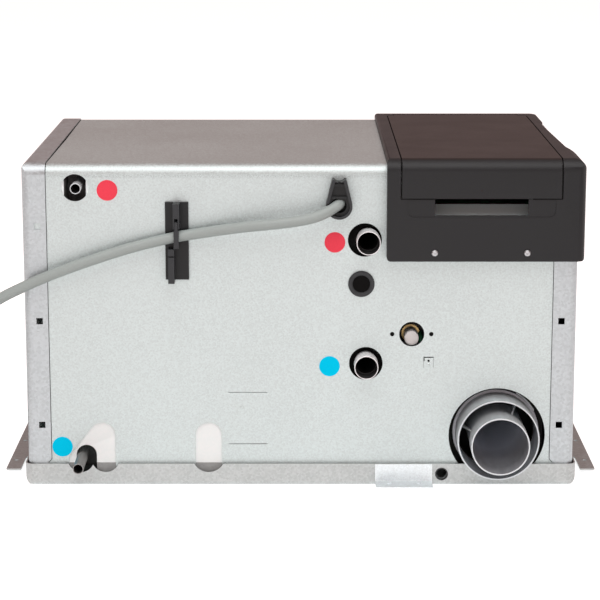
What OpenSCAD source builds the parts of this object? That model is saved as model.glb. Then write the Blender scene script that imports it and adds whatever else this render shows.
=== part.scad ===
// Caravan water heater: a gas and electric boiler for tap water and heating in a sheet-steel casing.
// Millimetres. +Z is up, the front faces -Y, the origin is the middle of the tray's underside.

/* [Casing] */
// Outside width over the end caps
casing_w = 510; // [500:1:530]
// Outside depth of the casing wrap
casing_d = 340; // [334:1:360]
// Height of the casing top above the floor
casing_h = 302; // [300:1:316]
// Thickness of the casing sheet
sheet_t = 1; // [0.8:0.1:1.2]
// Outside radius of the two top bends
bend_r = 10; // [7:0.5:12]
// Width of the end cap flanges
flange_w = 22; // [18:0.5:23]
// Outside radius of the end cap edges
cap_edge_r = 6.5; // [4:0.5:8]
// Clearance between sheet pieces
sheet_gap = 0.2; // [0.15:0.05:0.3]
// Side of the square holes in the cap flanges
cap_hole = 6; // [4:0.5:8]

/* [Tray and feet] */
// Thickness of the tray sheet
tray_t = 1.2; // [1:0.1:1.6]
// Height of the tray lip
tray_lip_h = 20; // [16:0.5:22]
// Gap between the tray lip and the end caps
tray_gap = 1.6; // [1:0.1:2]
// Radius of the tray's corners and of its lower edges at the sides
tray_corner_r = 8; // [5:0.5:10]
// Radius of the tray's lower edges at the front and rear
tray_edge_r = 2.2; // [2:0.1:2.6]
// Thickness of the feet
foot_t = 1.5; // [1.2:0.1:2]
// Height of the foot flanges above the floor
foot_lift = 2.5; // [1.5:0.5:3.5]
// Length of a side foot
foot_len = 270; // [260:2:290]
// Reach of a side foot past the tray
foot_reach = 23.2; // [21:0.2:27]
// Distance between the holes of a side foot
foot_hole_step = 70; // [64:1:72]
// Width of the front foot
front_foot_w = 53.4; // [48:0.2:58]
// Reach of the front foot past the tray lip
front_foot_reach = 22; // [18:0.5:26]
// Diameter of the foot holes
foot_hole_d = 4.5; // [4:0.1:5.5]

/* [Pipes] */
// Outside diameter of the heating flow and return pipes
heating_d = 22; // [20:0.5:22]
// Outside diameter of the tap water pipes
water_d = 10; // [8:0.5:10]
// Wall thickness of the pipes
pipe_wall = 0.8; // [0.8:0.1:1.2]
// Length of the heating pipes outside the panel
heating_out = 18; // [14:1:26]
// Length of the hot water pipe outside the panel
hot_out = 12; // [9:1:20]
// Length of the cold water pipe outside the panel
cold_out = 40; // [30:1:50]
// Diameter of the panel holes of the heating pipes
heating_hole_d = 31.2; // [30:0.2:33]
// Diameter of the panel hole of the hot water pipe
hot_hole_d = 25; // [22:0.5:26]

/* [Flue] */
// Outside diameter of the flue gas pipe
flue_d = 54; // [50:0.5:54]
// Outside diameter of the air intake pipe
intake_d = 76; // [74:0.5:77]
// Diameter of the panel hole of the flue
flue_hole_d = 90; // [88:0.5:91]
// Length of the flue gas pipe outside the panel
flue_out = 42; // [36:1:50]
// Length of the air intake pipe outside the panel
intake_out = 20; // [14:1:26]
// Wall thickness of the flue pipes
flue_wall = 1.4; // [0.8:0.1:1.6]

/* [Control housing] */
// Distance that the apron stands in front of the panel
apron_out = 12; // [11:0.5:15]
// Height of the apron below the casing top
apron_drop = 88; // [84:1:92]
// Height of the housing above the casing top
cover_rise = 6; // [5.5:0.25:8]
// Wall thickness of the housing
cover_t = 2.5; // [2:0.1:3]
// Width of the lid
lid_w = 145.4; // [142:0.2:146]
// Thickness of the lid plate
lid_t = 2.6; // [2:0.1:2.7]
// Outside radius of the front bend of the housing and lid
cover_bend_r = 12; // [9:0.5:13]
// Width of the finger slot
slot_w = 85; // [70:1:100]
// Height of the finger slot
slot_h = 15; // [12:0.5:16]
// Depth of the control pan below the casing top
pan_depth = 54; // [48:1:58]

/* [Mains cable] */
// Diameter of the mains cable
cable_d = 10; // [9:0.1:10]
// Width of the clip base
clip_w = 21.4; // [18:0.2:24]
// Height of the clip base
clip_h = 72; // [68:0.5:78]

/* [Tank] */
// Outside radius of the tap water tank
tank_r = 118; // [114:0.5:120]
// Outside radius of the heating water jacket
jacket_r = 96; // [95:0.5:98]
// Outside radius of the heat exchanger
exchanger_r = 66; // [64:0.5:67]
// Wall thickness of the three shells
shell_t = 1.2; // [1:0.1:1.5]

/* [Fan, burner and gas] */
// Radius of the fan scroll
scroll_r = 46; // [44:0.5:47]
// Radius of the fan wheel
wheel_r = 38; // [36:0.5:39]
// Number of fan blades
blade_count = 12; // [8:1:14]
// Radius of the burner tube
burner_r = 20; // [18:0.5:20]
// Stroke of the gas valve plungers
plunger_stroke = 2; // [1.5:0.25:2.5]

/* [Hidden] */
$fn = 72;
// The node to draw, or all of them

// Colours
zinc = [0.80, 0.82, 0.82];
tray_grey = [0.72, 0.71, 0.70];
black = [0.16, 0.16, 0.17];
cable_grey = [0.64, 0.66, 0.64];
steel = [0.75, 0.76, 0.78];
foam_white = [0.94, 0.94, 0.92];
red = [0.91, 0.26, 0.31];
cyan = [0.0, 0.75, 0.91];
brass = [0.80, 0.66, 0.35];
copper = [0.75, 0.47, 0.32];
green = [0.10, 0.42, 0.24];
white = [0.95, 0.95, 0.95];

// Clearances: over is the amount by which a cut passes a face
over = 1;
slack = 0.3;
run_fit = 0.05;
pin_fit = 0.02;

// Casing planes
half_w = casing_w / 2;
front_y = -casing_d / 2;
rear_y = casing_d / 2;
cap_half_d = rear_y + sheet_gap + sheet_t;
cap_top = casing_h + sheet_gap + sheet_t;
cap_foot_r = tray_corner_r - tray_t;
wrap_half_w = half_w - max(cap_edge_r, cap_foot_r) - sheet_gap;
wrap_hole_more = 1;
wrap_hole = cap_hole + wrap_hole_more;
wrap_hole_z = [57, 156];
hole_room = 40;
hole_side = 4;
cap_hole_in = 14;
cap_hole_z = [57, 156, 245];
cap_chamfer = 5;
panel_y0 = front_y - over;
panel_y1 = front_y + sheet_t + over;

// Tray planes
tray_in_x = half_w + tray_gap;
tray_out_x = tray_in_x + tray_t;
tray_in_y = cap_half_d + tray_gap;
tray_out_y = tray_in_y + tray_t;
drain_x = 132;
drain_z = 10.2;
drain_hole_d = 11;
drain_d = 9.6;
drain_head_d = 12;
drain_head_t = 0.8;
lip_flue_less = 10;
lip_flue_d = flue_hole_d - lip_flue_less;

// Side feet
foot_x1 = tray_out_x + foot_reach;
foot_hole_in = 6;
foot_hole_x = foot_x1 - foot_hole_in;
foot_z1 = foot_lift + foot_t;
foot_leg_low = 2;
foot_leg_z = tray_lip_h - foot_leg_low;
foot_leg_half = 92;
foot_tongue_out = 9;
foot_tongue_x = tray_out_x + foot_tongue_out;
foot_notch_r = 4;

// Front foot
front_foot_x = 96.4;
front_foot_hole_x = 13.8;
front_foot_y1 = -tray_out_y - front_foot_reach;
front_foot_hole_out = 10.5;
front_foot_hole_y = -tray_out_y - front_foot_hole_out;

// Places of the panel openings
bulk_in = 171;
bulk_x = half_w - bulk_in;
tank_low = 1;
tank_z = casing_h / 2 - tank_low;
tank_in = 23;
tank_x0 = -half_w + tank_in;
flow_in = 22;
flow_x = bulk_x - flow_in;
flow_hole_side = 3;
flow_hole_x = flow_x - flow_hole_side;
flow_up = 82;
flow_z = tank_z + flow_up;
return_low = 34.3;
return_z = tank_z - return_low;
return_in = 23.4;
return_x = bulk_x - return_in;
water_in_x = 50.7;
water_x = -half_w + water_in_x;
hot_low = 20.6;
hot_z = casing_h - hot_low;
cold_z = 25.5;
hot_hole_side = 1.8;
hot_hole_x = water_x - hot_hole_side;
hot_hole_low = 1;
hot_hole_z = hot_z - hot_hole_low;
hot_room = 40;
hot_room_low = 12;
hot_slot = 10.1;
water_in = 4;
heating_neck = 0.9;
heating_in_r = heating_d / 2 - heating_neck;
water_neck = 0.6;
water_in_r = water_d / 2 - water_neck;
flow_end = 20;
return_end = 80;
pipe_past = 5;
water_hole_deep = 10;
seal_near = 8;
seal_y0 = front_y + seal_near;
seal_far = 26;
seal_y1 = front_y + seal_far;
seal_wall = 8.6;
seal_r = heating_in_r + seal_wall;
grommet_room = 8;
gland_room = 20;
grommet_in = 28;
grommet_x = bulk_x - grommet_in;
grommet_up = 41;
grommet_z = tank_z + grommet_up;
grommet_d = 24.3;
grommet_hole_d = 20;
grommet_disc_d = 16;
grommet_rim_t = 2.2;
grommet_disc_t = 1.2;
gas_past = 18.9;
gas_x = bulk_x + gas_past;
gas_low = 6.5;
gas_z = tank_z - gas_low;
gas_hole_d = 23.3;
gas_screw_d = 4.2;
gas_screw_x = 18.1;
tab_past = 15.9;
tab_x = gas_x + tab_past;
tab_low = 26.8;
tab_z = gas_z - tab_low;
tab_w = 9.5;
tab_h = 10.6;
tab_slit = 1;
tab_fine = 0.25;
tab_hole_d = 2.2;
tab_hole_up = 1.4;
slit_x = -49;
slit_w = 36;
slit_h = 0.9;
slit_z = [87.6, 38];

// Pipe slots in the lower edge of the panel
slot_r = 12.4;
slot_top_z = 59.2;
slot_a_past = 19;
slot_a_x = water_x + slot_a_past;
slot_b_x = -85.8;
slot_lean_z = 22;
slot_steps = 24;
slot_lip_r = [12.2, 13.2, 15.3];
slot_lip_deep = 8;
slot_lip_left = 1;
slot_lip_right = 3;
slot_lip_x = [water_x - slot_lip_left, slot_a_x + slot_lip_right, slot_b_x];
arch_past = 4;
arch_x = water_x + arch_past;
arch_w = 19;
arch_top_z = 37;
arch_deep = 60;
arch_y = front_y + arch_deep;

// Marker dots
dot_d = 19;
dot_t = 0.3;
hot_dot_at = [27.7, -3.4];
flow_dot_at = [-30.5, -2.2];
return_dot_at = [-33.7, -2.7];
cold_dot_at = [-18.3, 10.1];
red_at = [[water_x, hot_z] + hot_dot_at, [flow_x, flow_z] + flow_dot_at];
blue_at = [[return_x, return_z] + return_dot_at, [water_x, cold_z] + cold_dot_at];

// Flue
flue_in = 71.7;
flue_x = half_w - flue_in;
flue_z = 46.9;
flue_r = flue_d / 2;
intake_r = intake_d / 2;
bead_h = 2.5;
bead_r = intake_r + bead_h;
bead_near = 13;
bead_y0 = front_y + bead_near;
spacer_t = 1.2;
spacer_len = 16;
spacer_turn = [62, 163, 285];
spacer_gap = 0.1;
flue_neck = flue_wall / 2;
flue_in_r = flue_r - flue_neck;
spacer_in = 16;
spacer_y0 = front_y - intake_out + spacer_in;
spacer_lean = 10;
spacer_tip = 3;

// Air box, around the flue behind the panel
box_t = 1;
box_lip = 1;
box_half_w = 45;
box_x0 = flue_x - box_half_w;
box_x1 = flue_x + box_half_w;
box_near = 22;
box_y0 = front_y + box_near;
box_far = 75;
box_y1 = front_y + box_far;
box_z0 = tray_t;
box_z1 = 176;

// Fan
fan_in = 79;
fan_x = half_w - fan_in;
fan_up = 82;
fan_z = flue_z + fan_up;
fan_y0 = -20;
fan_y1 = 20;
fan_t = 2;
eye_r = 24;
duct_t = 1.5;
outlet_up = 17;
outlet_z0 = fan_z + outlet_up;
motor_r = 27;
motor_y1 = 62;
shaft_r = 3;
hub_r = 8;
wheel_y0 = -14;
wheel_y1 = 12;
wheel_plate_t = 2;
blade_t = 1.6;
blade_in_r = 25;
blade_lean = 25;
blade_rim = 1;
hub_in = 4;
hub_out = 2;
shaft_in = 2;
shaft_short = 12;
motor_cap_t = 10;

// End plate of the tank
plate_rim = 6;
plate_r = tank_r + plate_rim;
plate_rear = 6;
plate_x0 = bulk_x - plate_rear;
plate_front = 2;
plate_x1 = bulk_x - plate_front;
bolt_count = 10;
bolt_r = 3;
bolt_head_r = 5;
bolt_head_t = 4;
bolt_past = 4;
bolt_circle_r = (tank_r + jacket_r) / 2;

// Shells
jacket_in = 18;
jacket_x0 = tank_x0 + jacket_in;
exchanger_in = 18;
exchanger_x0 = jacket_x0 + exchanger_in;
divider_t = 1.5;
divider_in = 45;
divider_x0 = exchanger_x0 + divider_in;
divider_gap = 0.4;

// Immersion heaters
heater_r = 4;
heater_in = 2.6;
heater_y = (jacket_r + exchanger_r) / 2 - heater_in;
heater_bend_r = 13.7;
heater_x0 = -120;
heater_head_r = 9;
heater_head_t = 10;
heater_pin_r = 1.5;
heater_pin_len = 6;

// Burner
burner_up = 31;
burner_z = tank_z + burner_up;
port_low = 32;
port_z = tank_z - port_low;
port_r = 16;
burner_flange_t = 3;
burner_flange_half = 34;
burner_flange_h = 68;
burner_box_half = 20;
burner_box_x1 = fan_x - scroll_r - fan_t;
burner_box_low = 40;
burner_box_z0 = burner_z - burner_box_low;
burner_box_up = 24;
burner_box_z1 = burner_z + burner_box_up;
burner_box_t = 2;
burner_tube_x0 = -110;
burner_tube_t = 1.4;
burner_slot_w = 2;
burner_slot_step = 24;
burner_slots = 7;
electrode_y = 28;
electrode_low = 22;
electrode_z = burner_z - electrode_low;
electrode_r = 4;
electrode_len = 58;
electrode_out = 16;
electrode_tip_r = 1.2;
electrode_tip_len = 14;

// Flue gas collector
collector_t = 1.2;
collector_half = 24;
collector_past = 31;
collector_x1 = flue_x + collector_past;
collector_low = 31;
collector_low_z0 = flue_z - collector_low;
collector_up = 30;
collector_low_z1 = flue_z + collector_up;
collector_riser = 42;
collector_riser_x1 = plate_x1 + collector_riser;
collector_room = 4;
collector_riser_z1 = burner_box_z0 - collector_room;

// Gas line
gas_r = 4;
gas_wall = 1;
inlet_r = 8.5;
inlet_bore_r = 4.5;
inlet_low = 4.3;
inlet_z = gas_z - inlet_low;
inlet_near = 23;
inlet_y0 = front_y + inlet_near;
valve_near = 30;
valve_y0 = front_y + valve_near;
valve_far = 78;
valve_y1 = front_y + valve_far;
valve_half_w = 13;
valve_wall = 10;
valve_low = 14;
valve_z0 = gas_z - valve_low;
valve_up = 15;
valve_z1 = gas_z + valve_up;
gas_pipe_up = 6.5;
gas_pipe_z = gas_z + gas_pipe_up;
gas_way_r = 2.4;
gas_way_in = 3.5;
gas_way_y = valve_y1 - valve_wall - gas_way_in;
coil_r = 11;
coil_h = 34;
coil_bore_r = 4.05;
plunger_room = 0.5;
valve_coil_in = 12;
coil_y = [valve_y0 + valve_coil_in, valve_y1 - valve_coil_in];
plunger_r = 4;
plunger_h = 24;
plunger_seat = 4.5;
plunger_z0 = valve_z1 - plunger_seat;
coil_bore_z1 = plunger_z0 + plunger_h + plunger_stroke + plunger_room;
cap_r = 6.5;
cap_t = 21;
cap_plug_len = 8;

// Control housing
cover_in = 176.2;
cover_x0 = half_w - cover_in;
cover_past = 5;
cover_x1 = half_w + cover_past;
cover_y0 = front_y - apron_out;
cover_short = 2;
cover_y1 = rear_y - cover_short;
cover_z0 = casing_h - apron_drop;
cover_z1 = casing_h + cover_rise;
cover_corner_r = 3.5;
cover_right_r = 11;
cover_side_r = 8;
cover_flare_near = 30;
cover_flare_far = 80;
cover_flare_y = [front_y + cover_flare_near, front_y + cover_flare_far];
cover_waist_side = 5;
cover_waist_x = half_w - cover_waist_side;
cover_waist_rear = 104;
cover_waist_y = rear_y - cover_waist_rear;
cover_waist_in = 4;
cover_bump = 2.5;
cover_bump_len = 24;
cover_rear_r = 14;
cover_steps = 16;
skirt_deep = 32;
skirt_y = front_y + skirt_deep;
lid_gap = 0.4;
lid_side_gap = 1.1;
lid_side = 90.3;
lid_mid_x = half_w - lid_side;
lid_x0 = lid_mid_x - lid_w / 2;
lid_x1 = lid_mid_x + lid_w / 2;
lip_low = 30;
lip_z0 = casing_h - lip_low;
pan_in = 4;
pan_x0 = lid_x0 + pan_in;
pan_gap = 1.5;
pan_x1 = half_w - flange_w - pan_gap;
pan_t = 2;
pan_z0 = casing_h - pan_depth;
hinge_in = 19.4;
hinge_y = rear_y - hinge_in;
hinge_low = 4.2;
hinge_z = cover_z1 - hinge_low;
lid_past = 5;
lid_y1 = hinge_y + lid_past;
lid_notch_in = 6;
lid_notch_y = hinge_y - lid_notch_in;
notch_gap = 1.7;
rail_past = 7;
rail_y = hinge_y + rail_past;
lug_r = 4;
lug_w = 6;
lug_gap = 1;
hinge_r = 2;
recess_x = 67.6;
recess_d = 0.8;
recess_low = 2;
recess_r = 6;
cover_screw_x = 42.2;
cover_screw_up = 8;
cover_screw_z = cover_z0 + cover_screw_up;
cover_screw_r = 1.5;
cover_screw_head_r = 3;
cover_screw_head_t = 2;
cover_screw_in = 5;
cover_boss_r = 4.5;

// Control board and what stands on it
board_in = 10;
board_x0 = pan_x0 + board_in;
board_x1 = pan_x1 - board_in;
board_near = 62;
board_y0 = front_y + board_near;
board_rear = 46;
board_y1 = rear_y - board_rear;
board_lift = 6;
board_t = 1.6;
post_r = 3.5;
post_in = 6;
board_z1 = pan_z0 + cover_t + board_lift + board_t;
relay_size = [19, 15, 16];
relay_step = 28;
relay_y = 20;
block_size = [60, 12, 14];
block_in = 10;
fuse_r = 3;
fuse_len = 22;
fuse_x = 20;
fuse_y = -30;
can_r = 6;
can_h = 18;
can_x = 30;
can_y = 70;
label_t = 0.5;
label_near = 4;
label_y0 = front_y + label_near;
label_len = 18;
label_lean = 40;
label_half_w = 56;

// Cable gland
gland_x = 35.2;
gland_low = 2;
gland_z = (flow_z + casing_h) / 2 - gland_low;
gland_r = 12;
gland_top_x = 6.4;
gland_top_z = 24.6;
gland_out = 13;
gland_wall = 2.4;
gland_pocket = 5;
gland_spigot_r = 8;
gland_spigot_len = 6;
gland_bar_h = 2;
gland_bar_z = [7, 18.4];
gland_bar_low = 2;
gland_notch_r = 6;
gland_notch_z = 28.1;
gland_eye_r = 6.8;
gland_eye_deep = 7.5;
gland_seat_gap = 0.9;
gland_seat_r = cable_d / 2 + gland_seat_gap;
gland_seat_len = 2.5;
gland_seat_run = 30;
gland_steps = 28;

// Route of the cable from the gland, over the clip and down to the coil on the floor:
// place along X, distance behind the panel face and height above where it lies on the floor
lay_lift = 1.5;
lay_z = cable_d / 2 + lay_lift;
lead_h = 258;
lead_stretch = (gland_z - lay_z) / lead_h;
lead_path = [
    [35.2, -7, 259.5], [28.4, -12, 255.5], [19.7, -17, 251.5], [8, -20, 248], [-10, -21, 245],
    [-30, -20, 242.5], [-50, -17, 240], [-72, -13, 236.5], [-92, -9.6, 233], [-113, -8, 229.5],
    [-133, -8, 225], [-155, -9.5, 219.5], [-180, -11, 212], [-205, -12, 203.5], [-230, -12, 194],
    [-255, -12, 183], [-279, -11, 170.5], [-301, -9, 154.5], [-317, -6, 135.5], [-328, -1, 113.5],
    [-334, 6, 90.5], [-337, 14, 67.5], [-338, 24, 45.5], [-338, 38, 26.5], [-338, 56, 11],
    [-338, 74, 2.5], [-338, 85, 0], [-338, 96, 0]
];
lead_route = [for (p = lead_path) [p[0], front_y + p[1], lay_z + lead_stretch * p[2]]];
lead_sides = 10;
coil_end_len = 12;
lead_start = lead_route[1] - lead_route[0];

// Coil of the cable that the view leaves out: it spirals in, climbs a layer and spirals out
coil_start = lead_route[len(lead_route) - 1] + [0, coil_end_len, 0];
coil_mean_r0 = 60;
coil_pitch = 11.5;
coil_rise = 11;
coil_turns = 3;
coil_ring_step = 15;
coil_sides = 6;
coil_mid = 180 * coil_turns;
coil_centre = coil_start - [coil_mean_r0, 0, 0];
tie_t = 1;
tie_w = 6;
tie_gap = 0.4;
core_r = 1.5;
core_len = 26;
core_offset = 2.4;
ferrule_r = 1;
ferrule_len = 8;

// Cable clip
clip_x = -113.2;
clip_up = 229.5;
clip_z = lay_z + lead_stretch * clip_up;
clip_low = 41;
clip_z0 = clip_z - clip_low;
clip_t = 2.5;
rib_w = 6;
rib_out = 14.5;
rib_up = 8;
rib_z0 = clip_z + rib_up;
clip_hinge_out = 11.5;
clip_hinge_y = front_y - clip_hinge_out;
clip_hinge_up = 12.5;
clip_hinge_z = clip_z + clip_hinge_up;
fork_w = 3.2;
fork_up = 17.5;
fork_z1 = clip_z + fork_up;
fork_out = 6.8;
fork_y = front_y - fork_out;
knuckle_r = 2.8;
knuckle_w = 2.8;
clip_pin_r = 0.8;
strap_out = 15.5;
strap_y0 = front_y - strap_out;
strap_in = 13.3;
strap_y1 = front_y - strap_in;
strap_low = 10;
strap_z0 = clip_z - strap_low;
strap_wide_up = 6.5;
strap_wide_z = clip_z + strap_wide_up;
strap_w = 4.6;
strap_up = 14;
strap_z1 = clip_z + strap_up;
tongue_side = 7.8;
tongue_x0 = clip_x - tongue_side;
tongue_w = 5.7;
tongue_low = 43;
tongue_z0 = clip_z - tongue_low;
tongue_up = 11;
tongue_z1 = clip_z - tongue_up;
tongue_out = 13;
groove_low = 18.5;
groove_z = clip_z - groove_low;
groove_h = 1.4;
groove_d = 2;

// Points and frames of a swept tube
function unit(v) = v / norm(v);
function heading(a) = [cos(a), sin(a)];
function mid_tangent(p, i) = unit(p[min(i + 1, len(p) - 1)] - p[max(i - 1, 0)]);
function square_to(v, t) = unit(v - (v * t) * t);
function frames(p, n0) = [
    for (i = 0, n = square_to(n0, mid_tangent(p, 0)); i < len(p);
        i = i + 1, n = i < len(p) ? square_to(n, mid_tangent(p, i)) : n) n
];
function tube_points(p, r, sides, n0) = let (f = frames(p, n0)) [
    for (i = [0 : len(p) - 1])
        let (b = cross(mid_tangent(p, i), f[i]))
            for (k = [0 : sides - 1])
                p[i] + r * (cos(360 * k / sides) * f[i] + sin(360 * k / sides) * b)
];
function tube_sides(rings, sides) = [
    for (i = [0 : rings - 2])
        for (k = [0 : sides - 1])
            let (a = i * sides + k)
                let (b = i * sides + (k + 1) % sides)
                    for (f = [[a, a + sides, b], [b, a + sides, b + sides]]) f
];
function tube_ends(rings, sides) = [
    for (k = [1 : sides - 2])
        let (e = (rings - 1) * sides)
            for (f = [[0, k, k + 1], [e, e + k + 1, e + k]]) f
];

// Centre line of the coil
function in_turn(a) = coil_mean_r0 - coil_pitch * (a < coil_mid ? a : 2 * coil_mid - a) / 360;
function climb(a) = min(1, max(0, (a - coil_mid + 90) / 180));
coil_curve = [
    for (a = [0 : coil_ring_step : 360 * coil_turns])
        coil_centre + [in_turn(a) * cos(a), in_turn(a) * sin(a), coil_rise * climb(a)]
];
coil_last = coil_curve[len(coil_curve) - 1];
coil_line = concat(
    [coil_start - [0, coil_end_len, 0]],
    coil_curve,
    [coil_last + [0, coil_end_len, 0]]
);
coil_half_turn = 180 / coil_ring_step;
coil_gaps = [
    for (i = [0 : len(coil_line) - 1])
        for (k = [i + coil_half_turn : 1 : len(coil_line) - 1]) norm(coil_line[i] - coil_line[k])
];
coil_least_gap = min(coil_gaps) - cable_d;
echo(coil_least_gap = coil_least_gap);

// Right edge of the housing, seen from above
function smooth(t) = let (u = min(1, max(0, t))) u * u * (3 - 2 * u);
function cover_edge(y) = cover_x1
    - (cover_x1 - cover_waist_x) * smooth((y - cover_flare_y[0]) / (cover_flare_y[1] - cover_flare_y[0]))
    - cover_waist_in * min(1, max(0, (y - cover_flare_y[1]) / (cover_waist_y - cover_flare_y[1])))
    + cover_bump * smooth((y - cover_waist_y) / cover_bump_len);
cover_rear_x = cover_edge(cover_y1 - cover_rear_r);
cover_plan = concat(
    [[cover_x0, cover_y0]],
    [for (a = [-90 : 15 : 0]) [cover_x1 - cover_side_r, cover_y0 + cover_side_r] + cover_side_r * heading(a)],
    [for (i = [0 : cover_steps])
        let (y = cover_flare_y[0] + (cover_flare_y[1] - cover_flare_y[0]) * i / cover_steps)
            [cover_edge(y), y]],
    [for (i = [0 : cover_steps / 2])
        let (y = cover_waist_y + cover_bump_len * i / (cover_steps / 2)) [cover_edge(y), y]],
    [for (a = [0 : 15 : 90])
        [cover_rear_x - cover_rear_r, cover_y1 - cover_rear_r] + cover_rear_r * heading(a)],
    [[cover_x0, cover_y1]]
);

// Angle at which a straight side of the gland touches its round lower end
function touch_angle(p, r) = atan2(p[1], p[0]) - acos(r / norm(p));

// Extrudes a drawing along X: its x becomes Y and its y becomes Z
module along_x(x0, x1) {
    translate([x0, 0, 0]) rotate([90, 0, 90]) linear_extrude(x1 - x0) children();
}

// Extrudes a drawing along Y: its x stays X and its y becomes Z
module along_y(y0, y1) {
    translate([0, y1, 0]) rotate([90, 0, 0]) linear_extrude(y1 - y0) children();
}

// Extrudes a drawing along Z
module along_z(z0, z1) {
    translate([0, 0, z0]) linear_extrude(z1 - z0) children();
}

module rod_x(y, z, x0, x1, r) {
    translate([x0, y, z]) rotate([0, 90, 0]) cylinder(h = x1 - x0, r = r);
}

module rod_y(x, z, y0, y1, r) {
    translate([x, y1, z]) rotate([90, 0, 0]) cylinder(h = y1 - y0, r = r);
}

module rod_z(x, y, z0, z1, r) {
    translate([x, y, z0]) cylinder(h = z1 - z0, r = r);
}

module box(p0, p1) {
    translate(p0) cube(p1 - p0);
}

module tube_y(x, z, y0, y1, r, t) {
    difference() {
        rod_y(x, z, y0, y1, r);
        rod_y(x, z, y0 - over, y1 + over, r - t);
    }
}

// What a corner of radius r loses at p, where d points into the drawing
module corner_loss(p, d, r) {
    difference() {
        translate([d[0] > 0 ? p[0] - over : p[0] - r, d[1] > 0 ? p[1] - over : p[1] - r])
            square(r + over);
        translate(p + r * d) circle(r);
    }
}

// Rectangle with corner radii lower left, lower right, upper right and upper left
module round_box(p0, p1, r) {
    difference() {
        translate(p0) square(p1 - p0);
        if (r[0] > 0) corner_loss(p0, [1, 1], r[0]);
        if (r[1] > 0) corner_loss([p1[0], p0[1]], [-1, 1], r[1]);
        if (r[2] > 0) corner_loss(p1, [-1, -1], r[2]);
        if (r[3] > 0) corner_loss([p0[0], p1[1]], [1, -1], r[3]);
    }
}

// Upright slot with a round top, drawn from z0
module arch(x, z0, z1, r) {
    translate([x - r, z0]) square([2 * r, z1 - r - z0]);
    translate([x, z1 - r]) circle(r);
}

// Slot with a round top at a that leans over to b on its left, open downwards
module leaning_slot(a, b, r) {
    lean = 270 + atan2(b[1] - a[1], b[0] - a[0]);
    polygon(concat(
        [[a[0] + r, 0]],
        [for (i = [0 : slot_steps]) a + r * heading(lean * i / slot_steps)],
        [for (i = [0 : slot_steps]) b + r * heading(lean + (180 - lean) * i / slot_steps)],
        [[b[0] - r, 0]]
    ));
}

module swept_tube(p, r, sides, n0) {
    polyhedron(
        points = tube_points(p, r, sides, n0),
        faces = concat(tube_sides(len(p), sides), tube_ends(len(p), sides))
    );
}

module tray_block(inset, z1) {
    intersection() {
        along_z(0, z1)
            round_box([-tray_out_x + inset, -tray_out_y + inset], [tray_out_x - inset, tray_out_y - inset],
                (tray_corner_r - inset) * [1, 1, 1, 1]);
        along_x(-tray_out_x, tray_out_x)
            round_box([-tray_out_y + inset, inset], [tray_out_y - inset, z1 + over],
                (tray_edge_r - inset) * [1, 1, 0, 0]);
        along_y(-tray_out_y, tray_out_y)
            round_box([-tray_out_x + inset, inset], [tray_out_x - inset, z1 + over],
                (tray_corner_r - inset) * [1, 1, 0, 0]);
    }
}

module base_tray() {
    color(tray_grey) difference() {
        tray_block(0, tray_lip_h);
        tray_block(tray_t, tray_lip_h + over);
        for (i = [0 : len(slot_lip_x) - 1])
            rod_y(slot_lip_x[i], tray_lip_h - slot_lip_deep + slot_lip_r[i], -tray_out_y - over,
                -tray_in_y + over, slot_lip_r[i]);
        rod_y(flue_x, flue_z, -tray_out_y - over, -tray_in_y + over, lip_flue_d / 2);
        rod_y(drain_x, drain_z, -tray_out_y - over, -tray_in_y + over, drain_hole_d / 2);
    }
}

module panel_openings() {
    rod_y(flow_hole_x, flow_z, panel_y0, panel_y1, heating_hole_d / 2);
    rod_y(return_x, return_z, panel_y0, panel_y1, heating_hole_d / 2);
    rod_y(hot_hole_x, hot_hole_z, panel_y0, panel_y1, hot_hole_d / 2);
    rod_y(grommet_x, grommet_z, panel_y0, panel_y1, grommet_hole_d / 2);
    rod_y(gland_x, gland_z, panel_y0, panel_y1, gland_spigot_r + slack);
    rod_y(flue_x, flue_z, panel_y0, panel_y1, flue_hole_d / 2);
    rod_y(gas_x, gas_z, panel_y0, panel_y1, gas_hole_d / 2);
    rod_y(drain_x, drain_z, panel_y0, panel_y1, drain_d / 2);
    for (s = [-1, 1]) {
        rod_y(gas_x + s * gas_screw_x, gas_z, panel_y0, panel_y1, gas_screw_d / 2);
        rod_y(lid_mid_x + s * cover_screw_x, cover_screw_z, panel_y0, panel_y1, cover_screw_r + slack);
    }
    along_y(panel_y0, panel_y1) {
        leaning_slot([slot_a_x, slot_top_z - slot_r], [water_x, slot_lean_z], slot_r);
        arch(slot_b_x, 0, slot_top_z, slot_r);
        for (z = slit_z) translate([slit_x - slit_w / 2, z]) square([slit_w, slit_h]);
        translate([tab_x, tab_z]) tab_cut();
    }
}

// Slit on three sides of the earth tab, wide at the top and the upper left, and its screw hole
module tab_cut() {
    difference() {
        translate([-tab_w / 2, -tab_h / 2]) square([tab_w, tab_h]);
        translate([-tab_w / 2 + tab_slit, 0]) square([tab_w - tab_slit - tab_fine, tab_h / 2 - tab_slit]);
        translate([-tab_w / 2 + tab_fine, -tab_h / 2 - over])
            square([tab_w - 2 * tab_fine, tab_h / 2 + 2 * over]);
    }
    translate([0, tab_hole_up]) circle(d = tab_hole_d);
}

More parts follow.
